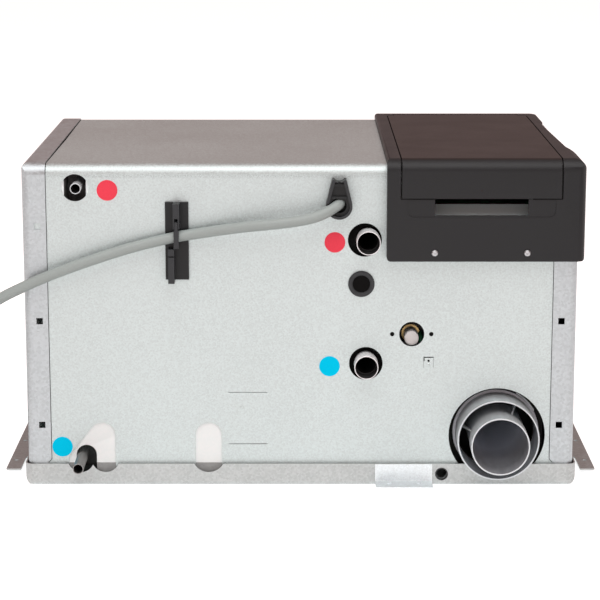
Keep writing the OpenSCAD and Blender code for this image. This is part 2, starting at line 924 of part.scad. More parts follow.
module casing_wrap() {
    color(zinc) difference() {
        along_x(-wrap_half_w, wrap_half_w) difference() {
            round_box([front_y, tray_t], [rear_y, casing_h], [0, 0, bend_r, bend_r]);
            round_box([front_y + sheet_t, tray_t - over], [rear_y - sheet_t, casing_h - sheet_t],
                (bend_r - sheet_t) * [0, 0, 1, 1]);
        }
        panel_openings();
        for (s = [-1, 1], z = wrap_hole_z)
            translate([s * (half_w - cap_hole_in) - wrap_hole / 2, panel_y0, z - wrap_hole / 2])
                cube([wrap_hole, panel_y1 - panel_y0, wrap_hole]);
        box([pan_x0 - lid_gap, front_y - over, pan_z0 - lid_gap],
            [pan_x1 + lid_gap, rail_y + pan_t + lid_gap, cap_top]);
    }
}

module cap_block(inset, x1) {
    r = cap_edge_r - inset;
    bend = bend_r + sheet_gap + sheet_t - inset;
    intersection() {
        along_x(-half_w + inset, x1)
            round_box([-cap_half_d + inset, tray_t - (inset > 0 ? over : 0)],
                [cap_half_d - inset, cap_top - inset],
                [0, 0, bend, bend]);
        along_y(-cap_half_d, cap_half_d)
            round_box([-half_w + inset, tray_t], [x1 + over, cap_top - inset], [cap_foot_r, 0, 0, r]);
        along_z(-over, cap_top)
            round_box([-half_w + inset, -cap_half_d + inset], [x1 + over, cap_half_d - inset], [r, 0, 0, r]);
    }
}

module end_cap() {
    difference() {
        cap_block(0, -half_w + flange_w);
        cap_block(sheet_t, -half_w + flange_w + over);
        for (z = cap_hole_z)
            translate([-half_w + cap_hole_in - cap_hole / 2, -cap_half_d - over, z - cap_hole / 2])
                cube([cap_hole, sheet_t + 2 * over, cap_hole]);
        translate([-half_w + flange_w, -cap_half_d, tray_t + tray_lip_h])
            rotate([0, 45, 0]) cube([cap_chamfer, 2 * sheet_t + 2 * over, cap_chamfer], center = true);
    }
}

module left_end_cap() {
    color(zinc) end_cap();
}

module right_end_cap() {
    color(zinc) mirror([1, 0, 0]) end_cap();
}

module foot_flange() {
    difference() {
        round_box([tray_out_x, -foot_len / 2], [foot_x1, foot_len / 2], foot_t * [0, 1, 1, 0]);
        for (s = [0, 1]) mirror([0, s]) {
            translate([tray_out_x - over, foot_leg_half + foot_notch_r])
                square([foot_tongue_x - tray_out_x + over, foot_len / 2 - foot_leg_half]);
            translate([tray_out_x - over, foot_leg_half])
                square([foot_tongue_x - foot_notch_r - tray_out_x + over, 2 * foot_notch_r]);
            translate([foot_tongue_x - foot_notch_r, foot_leg_half + foot_notch_r]) circle(foot_notch_r);
            for (k = [0.5, 1.5]) translate([foot_hole_x, k * foot_hole_step]) circle(d = foot_hole_d);
        }
    }
}

module right_foot() {
    color(tray_grey) {
        along_z(foot_lift, foot_z1) foot_flange();
        box([tray_out_x, -foot_leg_half, foot_z1 - sheet_t],
            [tray_out_x + foot_t, foot_leg_half, foot_leg_z]);
    }
}

module left_foot() {
    mirror([1, 0, 0]) right_foot();
}

module front_foot() {
    color(tray_grey) difference() {
        union() {
            box([front_foot_x - front_foot_w / 2, front_foot_y1, foot_lift],
                [front_foot_x + front_foot_w / 2, -tray_out_y, foot_z1]);
            box([front_foot_x - front_foot_w / 2, -tray_out_y - foot_t, foot_lift],
                [front_foot_x + front_foot_w / 2, -tray_out_y, tray_lip_h]);
        }
        for (s = [-1, 1])
            rod_z(front_foot_x + s * front_foot_hole_x, front_foot_hole_y, foot_lift - over,
                foot_z1 + over, foot_hole_d / 2);
    }
}

module drain_grommet() {
    color(black) difference() {
        union() {
            rod_y(drain_x, drain_z, -tray_out_y - drain_head_t, -tray_out_y, drain_head_d / 2);
            rod_y(drain_x, drain_z, -tray_out_y - drain_head_t, -tray_in_y, drain_hole_d / 2 - pin_fit);
        }
        rod_y(drain_x, drain_z, -tray_out_y - drain_head_t - over, -tray_in_y + over, drain_d / 2);
    }
}

module cover_block() {
    intersection() {
        along_y(cover_y0, cover_y1)
            round_box([cover_x0, cover_z0], [cover_x1, cover_z1],
                [cover_corner_r, cover_corner_r, cover_right_r, cover_corner_r]);
        along_x(cover_x0, cover_x1)
            round_box([cover_y0, cover_z0], [cover_y1, cover_z1], [0, 0, cover_corner_r, cover_bend_r]);
        along_z(cover_z0, cover_z1) polygon(cover_plan);
    }
}

// Space that the lid takes, with its clearance
module lid_space() {
    along_x(lid_x0 - lid_side_gap, lid_x1 + lid_side_gap) difference() {
        translate([cover_y0 - over, lip_z0 - lid_gap])
            square([lid_notch_y + notch_gap - cover_y0 + over, cover_z1 - lip_z0 + lid_gap + over]);
        round_box([cover_y0 + cover_t + lid_gap, 0], [rear_y, cover_z1 - lid_t - lid_gap],
            [0, 0, 0, cover_bend_r - cover_t]);
    }
}

module pan_walls() {
    box([pan_x0, cover_y0 + cover_t - over, pan_z0], [pan_x1, rail_y + pan_t, casing_h + over]);
}

module control_housing() {
    color(black) difference() {
        union() {
            difference() {
                cover_block();
                box([cover_x0 - over, front_y, 0], [half_w + lid_gap, rear_y + over, casing_h]);
                box([cover_x0 + cover_t, cover_y0 + cover_t, cover_z0 + cover_t],
                    [half_w + lid_gap, front_y + over, casing_h]);
                box([half_w, skirt_y, 0], [cover_x1 + over, rear_y + over, cap_top + slack]);
            }
            pan_walls();
            for (s = [-1, 1])
                rod_y(lid_mid_x + s * cover_screw_x, cover_screw_z, cover_y0 + cover_t - over, front_y,
                    cover_boss_r);
        }
        box([pan_x0 + pan_t, cover_y0 + cover_t, pan_z0 + cover_t],
            [pan_x1 - pan_t, rail_y, cover_z1 + over]);
        box([half_w - flange_w - slack, -cap_half_d - slack, 0],
            [half_w + lid_gap, cap_half_d, cap_top + slack]);
        lid_space();
        box([lid_mid_x - slot_w / 2, cover_y0 - over, lip_z0 - lid_gap - slot_h],
            [lid_mid_x + slot_w / 2, cover_y0 + cover_t + over, lip_z0]);
        along_y(cover_y0 - over, cover_y0 + recess_d)
            round_box([lid_mid_x - recess_x, lip_z0 - slot_h - recess_low], [lid_mid_x + recess_x, lip_z0],
                recess_r * [1, 1, 0, 0]);
        for (s = [-1, 1])
            rod_y(lid_mid_x + s * cover_screw_x, cover_screw_z, cover_y0 - over, front_y + over,
                cover_screw_r + pin_fit);
        rod_x(hinge_y, hinge_z, pan_x0, pan_x1, hinge_r + pin_fit);
    }
}

module cover_lid() {
    color(black) difference() {
        union() {
            intersection() {
                along_x(lid_x0, lid_x1) difference() {
                    round_box([cover_y0, lip_z0], [lid_y1, cover_z1], [0, 0, 0, cover_bend_r]);
                    round_box([cover_y0 + cover_t, lip_z0 - over], [lid_y1 + over, cover_z1 - lid_t],
                        [0, 0, 0, cover_bend_r - cover_t]);
                }
                along_z(lip_z0, cover_z1) {
                    translate([lid_x0, cover_y0]) square([lid_w, lid_notch_y - cover_y0]);
                    translate([pan_x0 + pan_t + lid_gap, cover_y0])
                        square([pan_x1 - pan_x0 - 2 * pan_t - 2 * lid_gap, lid_y1 - cover_y0]);
                }
            }
            for (x = [pan_x0 + pan_t + lug_gap, pan_x1 - pan_t - lug_gap - lug_w])
                rod_x(hinge_y, hinge_z, x, x + lug_w, lug_r);
        }
        rod_x(hinge_y, hinge_z, pan_x0, pan_x1, hinge_r + run_fit);
    }
}

module lid_pins() {
    color(steel) {
        rod_x(hinge_y, hinge_z, pan_x0, pan_x0 + pan_t + lug_gap + lug_w, hinge_r);
        rod_x(hinge_y, hinge_z, pan_x1 - pan_t - lug_gap - lug_w, pan_x1, hinge_r);
    }
}

module cover_screws() {
    color(steel) for (s = [-1, 1]) {
        rod_y(lid_mid_x + s * cover_screw_x, cover_screw_z, cover_y0 - cover_screw_head_t, cover_y0,
            cover_screw_head_r);
        rod_y(lid_mid_x + s * cover_screw_x, cover_screw_z, cover_y0 - over, front_y + cover_screw_in,
            cover_screw_r);
    }
}

module gland_outline(inset) {
    r = gland_r - inset;
    p = [gland_top_x - inset, gland_top_z - inset];
    a = touch_angle(p, r);
    round = [for (i = [0 : gland_steps]) let (b = a - (180 + 2 * a) * i / gland_steps) r * heading(b)];
    polygon(concat([[-p[0], p[1]], p], round));
}

module toward(v) {
    rotate([0, acos(unit(v)[2]), atan2(v[1], v[0])]) children();
}

module cable_gland() {
    color(black) difference() {
        union() {
            difference() {
                translate([gland_x, 0, gland_z]) along_y(front_y - gland_out, front_y) gland_outline(0);
                translate([gland_x, 0, gland_z])
                    along_y(front_y - gland_out - over, front_y - gland_out + gland_pocket)
                        gland_outline(gland_wall);
                rod_y(gland_x, gland_z + gland_notch_z, front_y - gland_out - over, front_y + over,
                    gland_notch_r);
            }
            translate([gland_x, front_y - gland_out, gland_z]) for (z = gland_bar_z)
                box([-gland_top_x, gland_bar_low, z], [gland_top_x, gland_pocket + over, z + gland_bar_h]);
            rod_y(gland_x, gland_z, front_y - over, front_y + gland_spigot_len, gland_spigot_r);
        }
        rod_y(gland_x, gland_z, front_y - gland_out - over, front_y - gland_out + gland_eye_deep,
            gland_eye_r);
        translate(lead_route[0]) toward(lead_start) translate([0, 0, -gland_seat_len])
            cylinder(h = gland_seat_len + gland_seat_run, r = gland_seat_r);
        rod_y(gland_x, gland_z, front_y - gland_seat_len, front_y + gland_spigot_len + over,
            cable_d / 2 + slack);
    }
}

module cable_lead() {
    color(cable_grey) swept_tube(lead_route, cable_d / 2, lead_sides, [0, 0, 1]);
}

module cable_coil() {
    color(cable_grey) swept_tube(coil_line, cable_d / 2, coil_sides, [0, 0, 1]);
}

module cable_cores() {
    color(copper) for (a = [90, 210, 330])
        translate(coil_line[len(coil_line) - 1] + core_offset * [cos(a), 0, sin(a)]) {
            rotate([-90, 0, 0]) cylinder(h = core_len, r = core_r);
            rotate([-90, 0, 0]) cylinder(h = core_len + ferrule_len, r = ferrule_r);
        }
}

module coil_tie() {
    r0 = in_turn(coil_mid) - cable_d / 2 - tie_gap;
    r1 = in_turn(180) + cable_d / 2 + tie_gap;
    z0 = coil_start[2] - cable_d / 2 - tie_gap;
    z1 = coil_start[2] + coil_rise + cable_d / 2 + tie_gap;
    color(black) translate([coil_centre[0], coil_centre[1], 0]) along_y(-tie_w / 2, tie_w / 2) difference() {
        round_box([-r1 - tie_t, z0 - tie_t], [-r0 + tie_t, z1 + tie_t], 2 * tie_t * [1, 1, 1, 1]);
        round_box([-r1, z0], [-r0, z1], tie_t * [1, 1, 1, 1]);
    }
}

module clip_base() {
    color(black) difference() {
        union() {
            box([clip_x - clip_w / 2, front_y - clip_t, clip_z0],
                [clip_x + clip_w / 2, front_y, clip_z0 + clip_h]);
            box([clip_x - rib_w / 2, front_y - rib_out, rib_z0],
                [clip_x + rib_w / 2, front_y - over, clip_z0 + clip_h]);
            box([tongue_x0, front_y - tongue_out, tongue_z0],
                [tongue_x0 + tongue_w, front_y - over, tongue_z1]);
        }
        box([clip_x - fork_w / 2, front_y - rib_out - over, rib_z0 - over],
            [clip_x + fork_w / 2, fork_y, fork_z1]);
        box([tongue_x0 - over, front_y - tongue_out - over, groove_z],
            [tongue_x0 + tongue_w + over, front_y - tongue_out + groove_d, groove_z + groove_h]);
        rod_x(clip_hinge_y, clip_hinge_z, clip_x - rib_w, clip_x + rib_w, clip_pin_r + pin_fit);
    }
}

module clip_strap() {
    color(black) difference() {
        union() {
            rod_x(clip_hinge_y, clip_hinge_z, clip_x - knuckle_w / 2, clip_x + knuckle_w / 2, knuckle_r);
            box([clip_x - knuckle_w / 2, strap_y0, strap_z0], [clip_x + knuckle_w / 2, strap_y1, strap_z1]);
            box([clip_x - strap_w / 2, strap_y0, strap_z0], [clip_x + strap_w / 2, strap_y1, strap_wide_z]);
        }
        rod_x(clip_hinge_y, clip_hinge_z, clip_x - rib_w, clip_x + rib_w, clip_pin_r + run_fit);
    }
}

module clip_pin() {
    color(steel) rod_x(clip_hinge_y, clip_hinge_z, clip_x - rib_w / 2, clip_x + rib_w / 2, clip_pin_r);
}

module blanking_grommet() {
    color(black) difference() {
        union() {
            rod_y(grommet_x, grommet_z, front_y - grommet_rim_t, front_y, grommet_d / 2);
            rod_y(grommet_x, grommet_z, front_y - over, front_y + 2 * sheet_t, grommet_hole_d / 2 - pin_fit);
        }
        rod_y(grommet_x, grommet_z, front_y - grommet_rim_t - over,
            front_y - grommet_rim_t + grommet_disc_t, grommet_disc_d / 2);
    }
}

// A heating pipe with its end widened for the hose, up to the panel
module heating_pipe(x, z, y1) {
    color(steel) difference() {
        union() {
            rod_y(x, z, front_y - heating_out, front_y, heating_d / 2);
            rod_y(x, z, front_y - over, y1, heating_in_r);
        }
        rod_y(x, z, front_y - heating_out - over, front_y - pipe_wall, heating_d / 2 - pipe_wall);
        rod_y(x, z, front_y - heating_out - over, y1 + over, heating_in_r - pipe_wall);
    }
}

module flow_pipe() {
    heating_pipe(flow_x, flow_z, -flow_end);
}

module return_pipe() {
    heating_pipe(return_x, return_z, -return_end);
}

module pipe_seals() {
    color(black) for (p = [[flow_x, flow_z], [return_x, return_z]])
        tube_y(p[0], p[1], seal_y0, seal_y1, seal_r, seal_r - heating_in_r - slack / 2);
}

// A tap water pipe with a widened end and one elbow, that runs in along Y and then towards the tank
module water_pipe(z, y0, z1) {
    color(steel) difference() {
        union() {
            rod_y(water_x, z, y0, front_y, water_d / 2);
            rod_y(water_x, z, front_y - over, 0, water_in_r);
            translate([water_x, 0, z]) sphere(water_in_r);
            rod_z(water_x, 0, min(z, z1), max(z, z1), water_in_r);
        }
        rod_y(water_x, z, y0 - over, front_y - pipe_wall, water_d / 2 - pipe_wall);
        rod_y(water_x, z, y0 - over, 0, water_in_r - pipe_wall);
        translate([water_x, 0, z]) sphere(water_in_r - pipe_wall);
        rod_z(water_x, 0, min(z, z1 - over), max(z, z1 + over), water_in_r - pipe_wall);
    }
}

module hot_water_pipe() {
    water_pipe(hot_z, front_y - hot_out, tank_z + tank_r - water_in);
}

module cold_water_pipe() {
    water_pipe(cold_z, front_y - cold_out, tank_z - tank_r + water_in);
}

module red_dots() {
    color(red) for (p = red_at) rod_y(p[0], p[1], front_y - dot_t, front_y, dot_d / 2);
}

module blue_dots() {
    color(cyan) for (p = blue_at) rod_y(p[0], p[1], front_y - dot_t, front_y, dot_d / 2);
}

module intake_pipe() {
    color(steel) difference() {
        union() {
            rod_y(flue_x, flue_z, front_y - intake_out, box_y0, intake_r);
            rod_y(flue_x, flue_z, bead_y0, box_y0, bead_r);
        }
        rod_y(flue_x, flue_z, front_y - intake_out - over, box_y0 + over, intake_r - flue_wall);
    }
}

// The flue pipe, thinner behind the end that a hose is pushed on
module flue_pipe() {
    color(steel) difference() {
        union() {
            rod_y(flue_x, flue_z, front_y - flue_out, front_y - intake_out, flue_r);
            rod_y(flue_x, flue_z, front_y - intake_out - over, -collector_half, flue_in_r);
        }
        rod_y(flue_x, flue_z, front_y - flue_out - over, -collector_half + over, flue_r - flue_wall);
    }
}

// Tongues from the air intake pipe that lean forward to a tip on the flue pipe
module flue_spacers() {
    r0 = flue_in_r + spacer_gap;
    r1 = intake_r - flue_wall - spacer_gap;
    color(steel) translate([flue_x, spacer_y0, flue_z]) for (a = spacer_turn)
        rotate([0, -a, 0]) along_z(-spacer_t / 2, spacer_t / 2)
            polygon([[r1, 0], [r1, spacer_len], [r0, spacer_tip - spacer_lean], [r0, -spacer_lean]]);
}

module air_box() {
    color(zinc) difference() {
        box([box_x0, box_y0, box_z0], [box_x1, box_y1, box_z1]);
        box([box_x0 + box_t, box_y0 + box_t, box_z0 + box_t],
            [box_x1 - box_t, box_y1 - box_t, box_z1 - box_t]);
        rod_y(flue_x, flue_z, box_y0 - over, box_y0 + box_t + over, intake_r - flue_wall - box_lip);
        rod_y(flue_x, flue_z, box_y1 - box_t - over, box_y1 + over, flue_in_r + spacer_gap);
        rod_y(fan_x, fan_z, box_y1 - box_t - over, box_y1 + over, eye_r);
    }
}

module intake_duct() {
    color(black) tube_y(fan_x, fan_z, box_y1, fan_y0 - fan_t, eye_r + duct_t, duct_t);
}

// Scroll of the fan with the straight outlet towards the burner
module scroll_shape(grow) {
    translate([fan_x, fan_z]) circle(scroll_r + grow);
    translate([burner_box_x1 - (grow > 0 ? 0 : over), outlet_z0 - grow])
        square([fan_x - burner_box_x1 + over, fan_z + scroll_r - outlet_z0 + 2 * grow]);
}

module fan_housing() {
    color(zinc) difference() {
        along_y(fan_y0, fan_y1) scroll_shape(fan_t);
        along_y(fan_y0 - over, fan_y1 - fan_t) scroll_shape(0);
        rod_y(fan_x, fan_z, fan_y1 - fan_t - over, fan_y1 + over, shaft_r + run_fit);
    }
}

module fan_cover() {
    color(zinc) difference() {
        along_y(fan_y0 - fan_t, fan_y0) scroll_shape(fan_t);
        rod_y(fan_x, fan_z, fan_y0 - fan_t - over, fan_y0 + over, eye_r);
    }
}

module fan_rotor() {
    color(black) {
        rod_y(fan_x, fan_z, wheel_y1 - wheel_plate_t, wheel_y1, wheel_r);
        rod_y(fan_x, fan_z, wheel_y0 + hub_in, wheel_y1 + hub_out, hub_r);
        rod_y(fan_x, fan_z, wheel_y0 + shaft_in, motor_y1 - shaft_short, shaft_r);
        translate([fan_x, 0, fan_z]) along_y(wheel_y0, wheel_y1 - over) for (k = [0 : blade_count - 1])
            rotate(360 * k / blade_count) translate([blade_in_r, 0]) rotate(blade_lean)
                translate([0, -blade_t / 2]) square([wheel_r - blade_in_r - blade_rim, blade_t]);
    }
}

module fan_motor() {
    color(black) difference() {
        rod_y(fan_x, fan_z, fan_y1, motor_y1, motor_r);
        rod_y(fan_x, fan_z, fan_y1 - over, motor_y1 - motor_cap_t, shaft_r + run_fit);
    }
}

// Chamber in front of the flue pipe and the riser beside the end plate
module collector_block(inset) {
    p0 = [plate_x1, -collector_half, collector_low_z0] + inset * [1, 1, 1];
    box(p0, [collector_x1, collector_half, collector_low_z1] - inset * [1, 1, 1]);
    box(p0, [collector_riser_x1, collector_half, collector_riser_z1] - inset * [1, 1, 1]);
}

module flue_collector() {
    color(steel) difference() {
        collector_block(0);
        collector_block(collector_t);
        rod_x(0, port_z, plate_x1 - over, plate_x1 + collector_t + over, port_r);
        rod_y(flue_x, flue_z, -collector_half - over, -collector_half + collector_t + over,
            flue_r - flue_wall);
    }
}

module insulation_outside() {
    x0 = -half_w + sheet_t + slack;
    y0 = front_y + sheet_t + slack;
    z1 = casing_h - sheet_t - slack;
    intersection() {
        along_x(x0, bulk_x) round_box([y0, tray_t], [-y0, z1], bend_r * [0, 0, 1, 1]);
        along_y(y0, -y0) round_box([x0, tray_t], [bulk_x, z1], [tray_corner_r, 0, 0, cap_edge_r]);
        along_z(0, casing_h) round_box([x0, y0], [bulk_x, -y0], cap_edge_r * [1, 0, 0, 1]);
    }
}

module insulation_block() {
    difference() {
        insulation_outside();
        rod_x(0, tank_z, tank_x0 - slack, bulk_x + over, tank_r + slack);
        rod_x(0, tank_z, plate_x0 - slack, bulk_x + over, plate_r + slack);
        rod_y(flow_x, flow_z, front_y, 0, heating_in_r + slack);
        rod_y(return_x, return_z, front_y, 0, heating_in_r + slack);
        for (p = [[flow_x, flow_z], [return_x, return_z]])
            rod_y(p[0], p[1], front_y, seal_y1 + slack, seal_r + slack);
        rod_y(grommet_x, grommet_z, front_y, front_y + grommet_room, grommet_d / 2);
        rod_y(gland_x, gland_z, front_y, front_y + gland_room, gland_spigot_r + gland_wall);
        box([hot_hole_x - hot_slot, front_y, hot_hole_z - hot_hole_d / 2 - hot_room_low],
            [hot_hole_x + hot_slot, front_y + hot_room, hot_hole_z + hot_hole_d / 2]);
        for (z = wrap_hole_z)
            box([-half_w + cap_hole_in - wrap_hole / 2, front_y, z - wrap_hole / 2 - hole_side],
                [-half_w + cap_hole_in + wrap_hole / 2 + hole_side, front_y + hole_room,
                    z + wrap_hole / 2 + hole_side]);
        for (p = [[hot_z, tank_z + tank_r], [cold_z, tank_z - tank_r]]) {
            rod_y(water_x, p[0], front_y, 0, water_in_r + slack);
            translate([water_x, 0, p[0]]) sphere(water_in_r + slack);
            rod_z(water_x, 0, min(p[0], p[1] - water_in), max(p[0], p[1] + water_in), water_in_r + slack);
        }
        along_y(front_y, arch_y) arch(arch_x, 0, arch_top_z, arch_w / 2);
        box([plate_x1 - slack, -collector_half - slack, collector_low_z0 - slack],
            [bulk_x + over, collector_half + slack, tank_z]);
    }
}

module insulation_lower() {
    color(foam_white) intersection() {
        insulation_block();
        box([-half_w, -casing_d, 0], [half_w, casing_d, tank_z]);
    }
}

module insulation_upper() {
    color(foam_white) intersection() {
        insulation_block();
        box([-half_w, -casing_d, tank_z], [half_w, casing_d, casing_h]);
    }
}

// A cup that lies on its side, open towards the end plate
module shell_cup(x0, r) {
    difference() {
        rod_x(0, tank_z, x0, plate_x0, r);
        rod_x(0, tank_z, x0 + shell_t, plate_x0 + over, r - shell_t);
    }
}

module tank_shell() {
    color(steel) difference() {
        shell_cup(tank_x0, tank_r);
        rod_y(flow_x, flow_z, -tank_r - over, -flow_end, heating_in_r + slack / 2);
        rod_y(return_x, return_z, -tank_r - over, -return_end, heating_in_r + slack / 2);
        rod_z(water_x, 0, tank_z + tank_r - water_hole_deep, tank_z + tank_r + over, water_in_r + slack / 2);
        rod_z(water_x, 0, tank_z - tank_r - over, tank_z - tank_r + water_hole_deep, water_in_r + slack / 2);
    }
}

module jacket_shell() {
    color(steel) difference() {
        shell_cup(jacket_x0, jacket_r);
        rod_y(flow_x, flow_z, -tank_r, pipe_past - flow_end, heating_in_r + slack / 2);
        rod_y(return_x, return_z, -tank_r, pipe_past - return_end, heating_in_r + slack / 2);
    }
}

module heat_exchanger() {
    color(steel) {
        shell_cup(exchanger_x0, exchanger_r);
        box([divider_x0, -exchanger_r + shell_t / 2, tank_z - divider_t / 2],
            [plate_x0 - divider_gap, exchanger_r - shell_t / 2, tank_z + divider_t / 2]);
    }
}

module at_bolts() {
    for (k = [0 : bolt_count - 1])
        let (a = 360 * k / bolt_count)
            translate([0, bolt_circle_r * cos(a), tank_z + bolt_circle_r * sin(a)]) children();
}

module tank_end_plate() {
    color(steel) difference() {
        rod_x(0, tank_z, plate_x0, plate_x1, plate_r);
        rod_x(0, burner_z, plate_x0 - over, plate_x1 + over, burner_r + slack);
        rod_x(0, port_z, plate_x0 - over, plate_x1 + over, port_r);
        rod_x(electrode_y, electrode_z, plate_x0 - over, plate_x1 + over, electrode_r + slack);
        for (s = [-1, 1], u = [-1, 1])
            rod_x(s * heater_y, tank_z + u * heater_bend_r, plate_x0 - over, plate_x1 + over,
                heater_r + pin_fit);
        at_bolts() rod_x(0, 0, plate_x0 - over, plate_x1 + over, bolt_r + pin_fit);
    }
}

module end_plate_bolts() {
    color(steel) at_bolts() {
        rod_x(0, 0, plate_x0 - bolt_past, plate_x1 + over, bolt_r);
        translate([plate_x1, 0, 0]) rotate([0, 90, 0]) cylinder(h = bolt_head_t, r = bolt_head_r, $fn = 6);
    }
}

module immersion_heaters() {
    color(copper) for (s = [-1, 1]) {
        for (u = [-1, 1]) {
            rod_x(s * heater_y, tank_z + u * heater_bend_r, heater_x0, plate_x1 + over, heater_r);
            rod_x(s * heater_y, tank_z + u * heater_bend_r, plate_x1, plate_x1 + heater_head_t,
                heater_head_r);
            rod_x(s * heater_y, tank_z + u * heater_bend_r, plate_x1,
                plate_x1 + heater_head_t + heater_pin_len, heater_pin_r);
        }
        translate([heater_x0, s * heater_y, tank_z]) rotate([90, 90, 0])
            rotate_extrude(angle = 180) translate([heater_bend_r, 0]) circle(heater_r);
    }
}

module burner_body() {
    color(zinc) difference() {
        union() {
            box([plate_x1, -burner_flange_half, burner_z - burner_flange_h / 2],
                [plate_x1 + burner_flange_t, burner_flange_half, burner_z + burner_flange_h / 2]);
            box([plate_x1, -burner_box_half, burner_box_z0], [burner_box_x1, burner_box_half, burner_box_z1]);
        }
        box([plate_x1 + burner_flange_t, -burner_box_half + burner_box_t, burner_box_z0 + burner_box_t],
            [burner_box_x1 - burner_box_t, burner_box_half - burner_box_t, burner_box_z1 - burner_box_t]);
        box([burner_box_x1 - burner_box_t - over, fan_y0 + burner_box_t, outlet_z0],
            [burner_box_x1 + over, fan_y1 - burner_box_t, burner_box_z1 - burner_box_t]);
        rod_x(0, burner_z, plate_x1 - over, plate_x1 + burner_flange_t + over, burner_r - burner_tube_t);
        rod_x(electrode_y, electrode_z, plate_x1 - over, plate_x1 + burner_flange_t + over,
            electrode_r + pin_fit);
        rod_y(gas_x, gas_pipe_z, -burner_box_half - over, -burner_box_half + burner_box_t + over,
            gas_r - gas_wall);
    }
}

module burner_tube() {
    color(steel) difference() {
        rod_x(0, burner_z, burner_tube_x0, plate_x1, burner_r);
        rod_x(0, burner_z, burner_tube_x0 + burner_tube_t, plate_x1 + over, burner_r - burner_tube_t);
        for (k = [0 : burner_slots - 1])
            translate([burner_tube_x0 + burner_slot_step * (k + 0.5), -burner_r, burner_z + burner_r / 2])
                cube([burner_slot_w, 2 * burner_r, burner_r]);
    }
}

module ignition_electrode() {
    color(white) {
        rod_x(electrode_y, electrode_z, plate_x1 - electrode_len, plate_x1 + electrode_out, electrode_r);
        rod_x(electrode_y, electrode_z, plate_x1 - electrode_len - electrode_tip_len,
            plate_x1 + electrode_out + electrode_tip_len / 2, electrode_tip_r);
    }
}

module gas_inlet() {
    color(brass) tube_y(gas_x, inlet_z, inlet_y0, valve_y0, inlet_r, inlet_r - inlet_bore_r);
}

module gas_inlet_cap() {
    color(white) {
        rod_y(gas_x, inlet_z, inlet_y0 - cap_t, inlet_y0, cap_r);
        rod_y(gas_x, inlet_z, inlet_y0 - over, inlet_y0 + cap_plug_len, inlet_bore_r - pin_fit);
    }
}

module gas_valve() {
    color(steel) difference() {
        box([gas_x - valve_half_w, valve_y0, valve_z0], [gas_x + valve_half_w, valve_y1, valve_z1]);
        rod_y(gas_x, inlet_z, valve_y0 - over, valve_y1 - valve_wall, inlet_bore_r);
        rod_z(gas_x, gas_way_y, inlet_z, gas_pipe_z, gas_way_r);
        rod_y(gas_x, gas_pipe_z, gas_way_y - gas_r + gas_wall, valve_y1 + over, gas_r - gas_wall);
        for (y = coil_y) rod_z(gas_x, y, plunger_z0 - plunger_room, valve_z1 + over, coil_bore_r);
    }
}

module valve_coils() {
    color(black) for (y = coil_y) difference() {
        rod_z(gas_x, y, valve_z1, valve_z1 + coil_h, coil_r);
        rod_z(gas_x, y, valve_z1 - over, coil_bore_z1, coil_bore_r);
    }
}

module plunger(y) {
    color(steel) rod_z(gas_x, y, plunger_z0, plunger_z0 + plunger_h, plunger_r);
}

module valve_plunger_1() {
    plunger(coil_y[0]);
}

module valve_plunger_2() {
    plunger(coil_y[1]);
}

module gas_pipe() {
    color(copper) tube_y(gas_x, gas_pipe_z, valve_y1, -burner_box_half, gas_r, gas_wall);
}

module control_board() {
    color(green) {
        box([board_x0, board_y0, board_z1 - board_t], [board_x1, board_y1, board_z1]);
        for (x = [board_x0 + post_in, board_x1 - post_in], y = [board_y0 + post_in, board_y1 - post_in])
            rod_z(x, y, pan_z0 + cover_t, board_z1 - board_t / 2, post_r);
    }
}

module board_components() {
    mid = (board_x0 + board_x1) / 2;
    color(black) {
        for (k = [-1 : 1])
            translate([mid + k * relay_step - relay_size[0] / 2, relay_y, board_z1]) cube(relay_size);
        for (y = [board_y0 + block_in, board_y1 - block_in - block_size[1]])
            translate([mid - block_size[0] / 2, y, board_z1]) cube(block_size);
        for (s = [-1, 1]) {
            x = mid + s * fuse_x;
            rod_x(fuse_y, board_z1 + fuse_r, x - fuse_len / 2, x + fuse_len / 2, fuse_r);
            rod_z(mid + s * can_x, can_y, board_z1, board_z1 + can_h, can_r);
        }
    }
}

module label_plate() {
    color(white) translate([lid_mid_x - label_half_w, label_y0, pan_z0 + cover_t])
        rotate([label_lean, 0, 0]) cube([2 * label_half_w, label_len, label_t]);
}

base_tray();
casing_wrap();
left_end_cap();
right_end_cap();
left_foot();
right_foot();
front_foot();
drain_grommet();
control_housing();
cover_lid();
lid_pins();
cover_screws();
cable_gland();
cable_lead();
cable_coil();
cable_cores();
coil_tie();
clip_base();
clip_strap();
clip_pin();
blanking_grommet();
flow_pipe();
return_pipe();
pipe_seals();
hot_water_pipe();
cold_water_pipe();
red_dots();
blue_dots();
intake_pipe();
flue_pipe();
flue_spacers();
air_box();
intake_duct();
flue_collector();
insulation_lower();
insulation_upper();
tank_shell();
jacket_shell();
heat_exchanger();
tank_end_plate();
end_plate_bolts();
immersion_heaters();
burner_body();
burner_tube();
ignition_electrode();
fan_housing();
fan_cover();
fan_rotor();
fan_motor();
gas_inlet();
gas_inlet_cap();
gas_valve();
valve_coils();
valve_plunger_1();
valve_plunger_2();
gas_pipe();
control_board();
board_components();
label_plate();
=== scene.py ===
"""Looks of the caravan water heater, laid out as a Blender add-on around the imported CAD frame."""

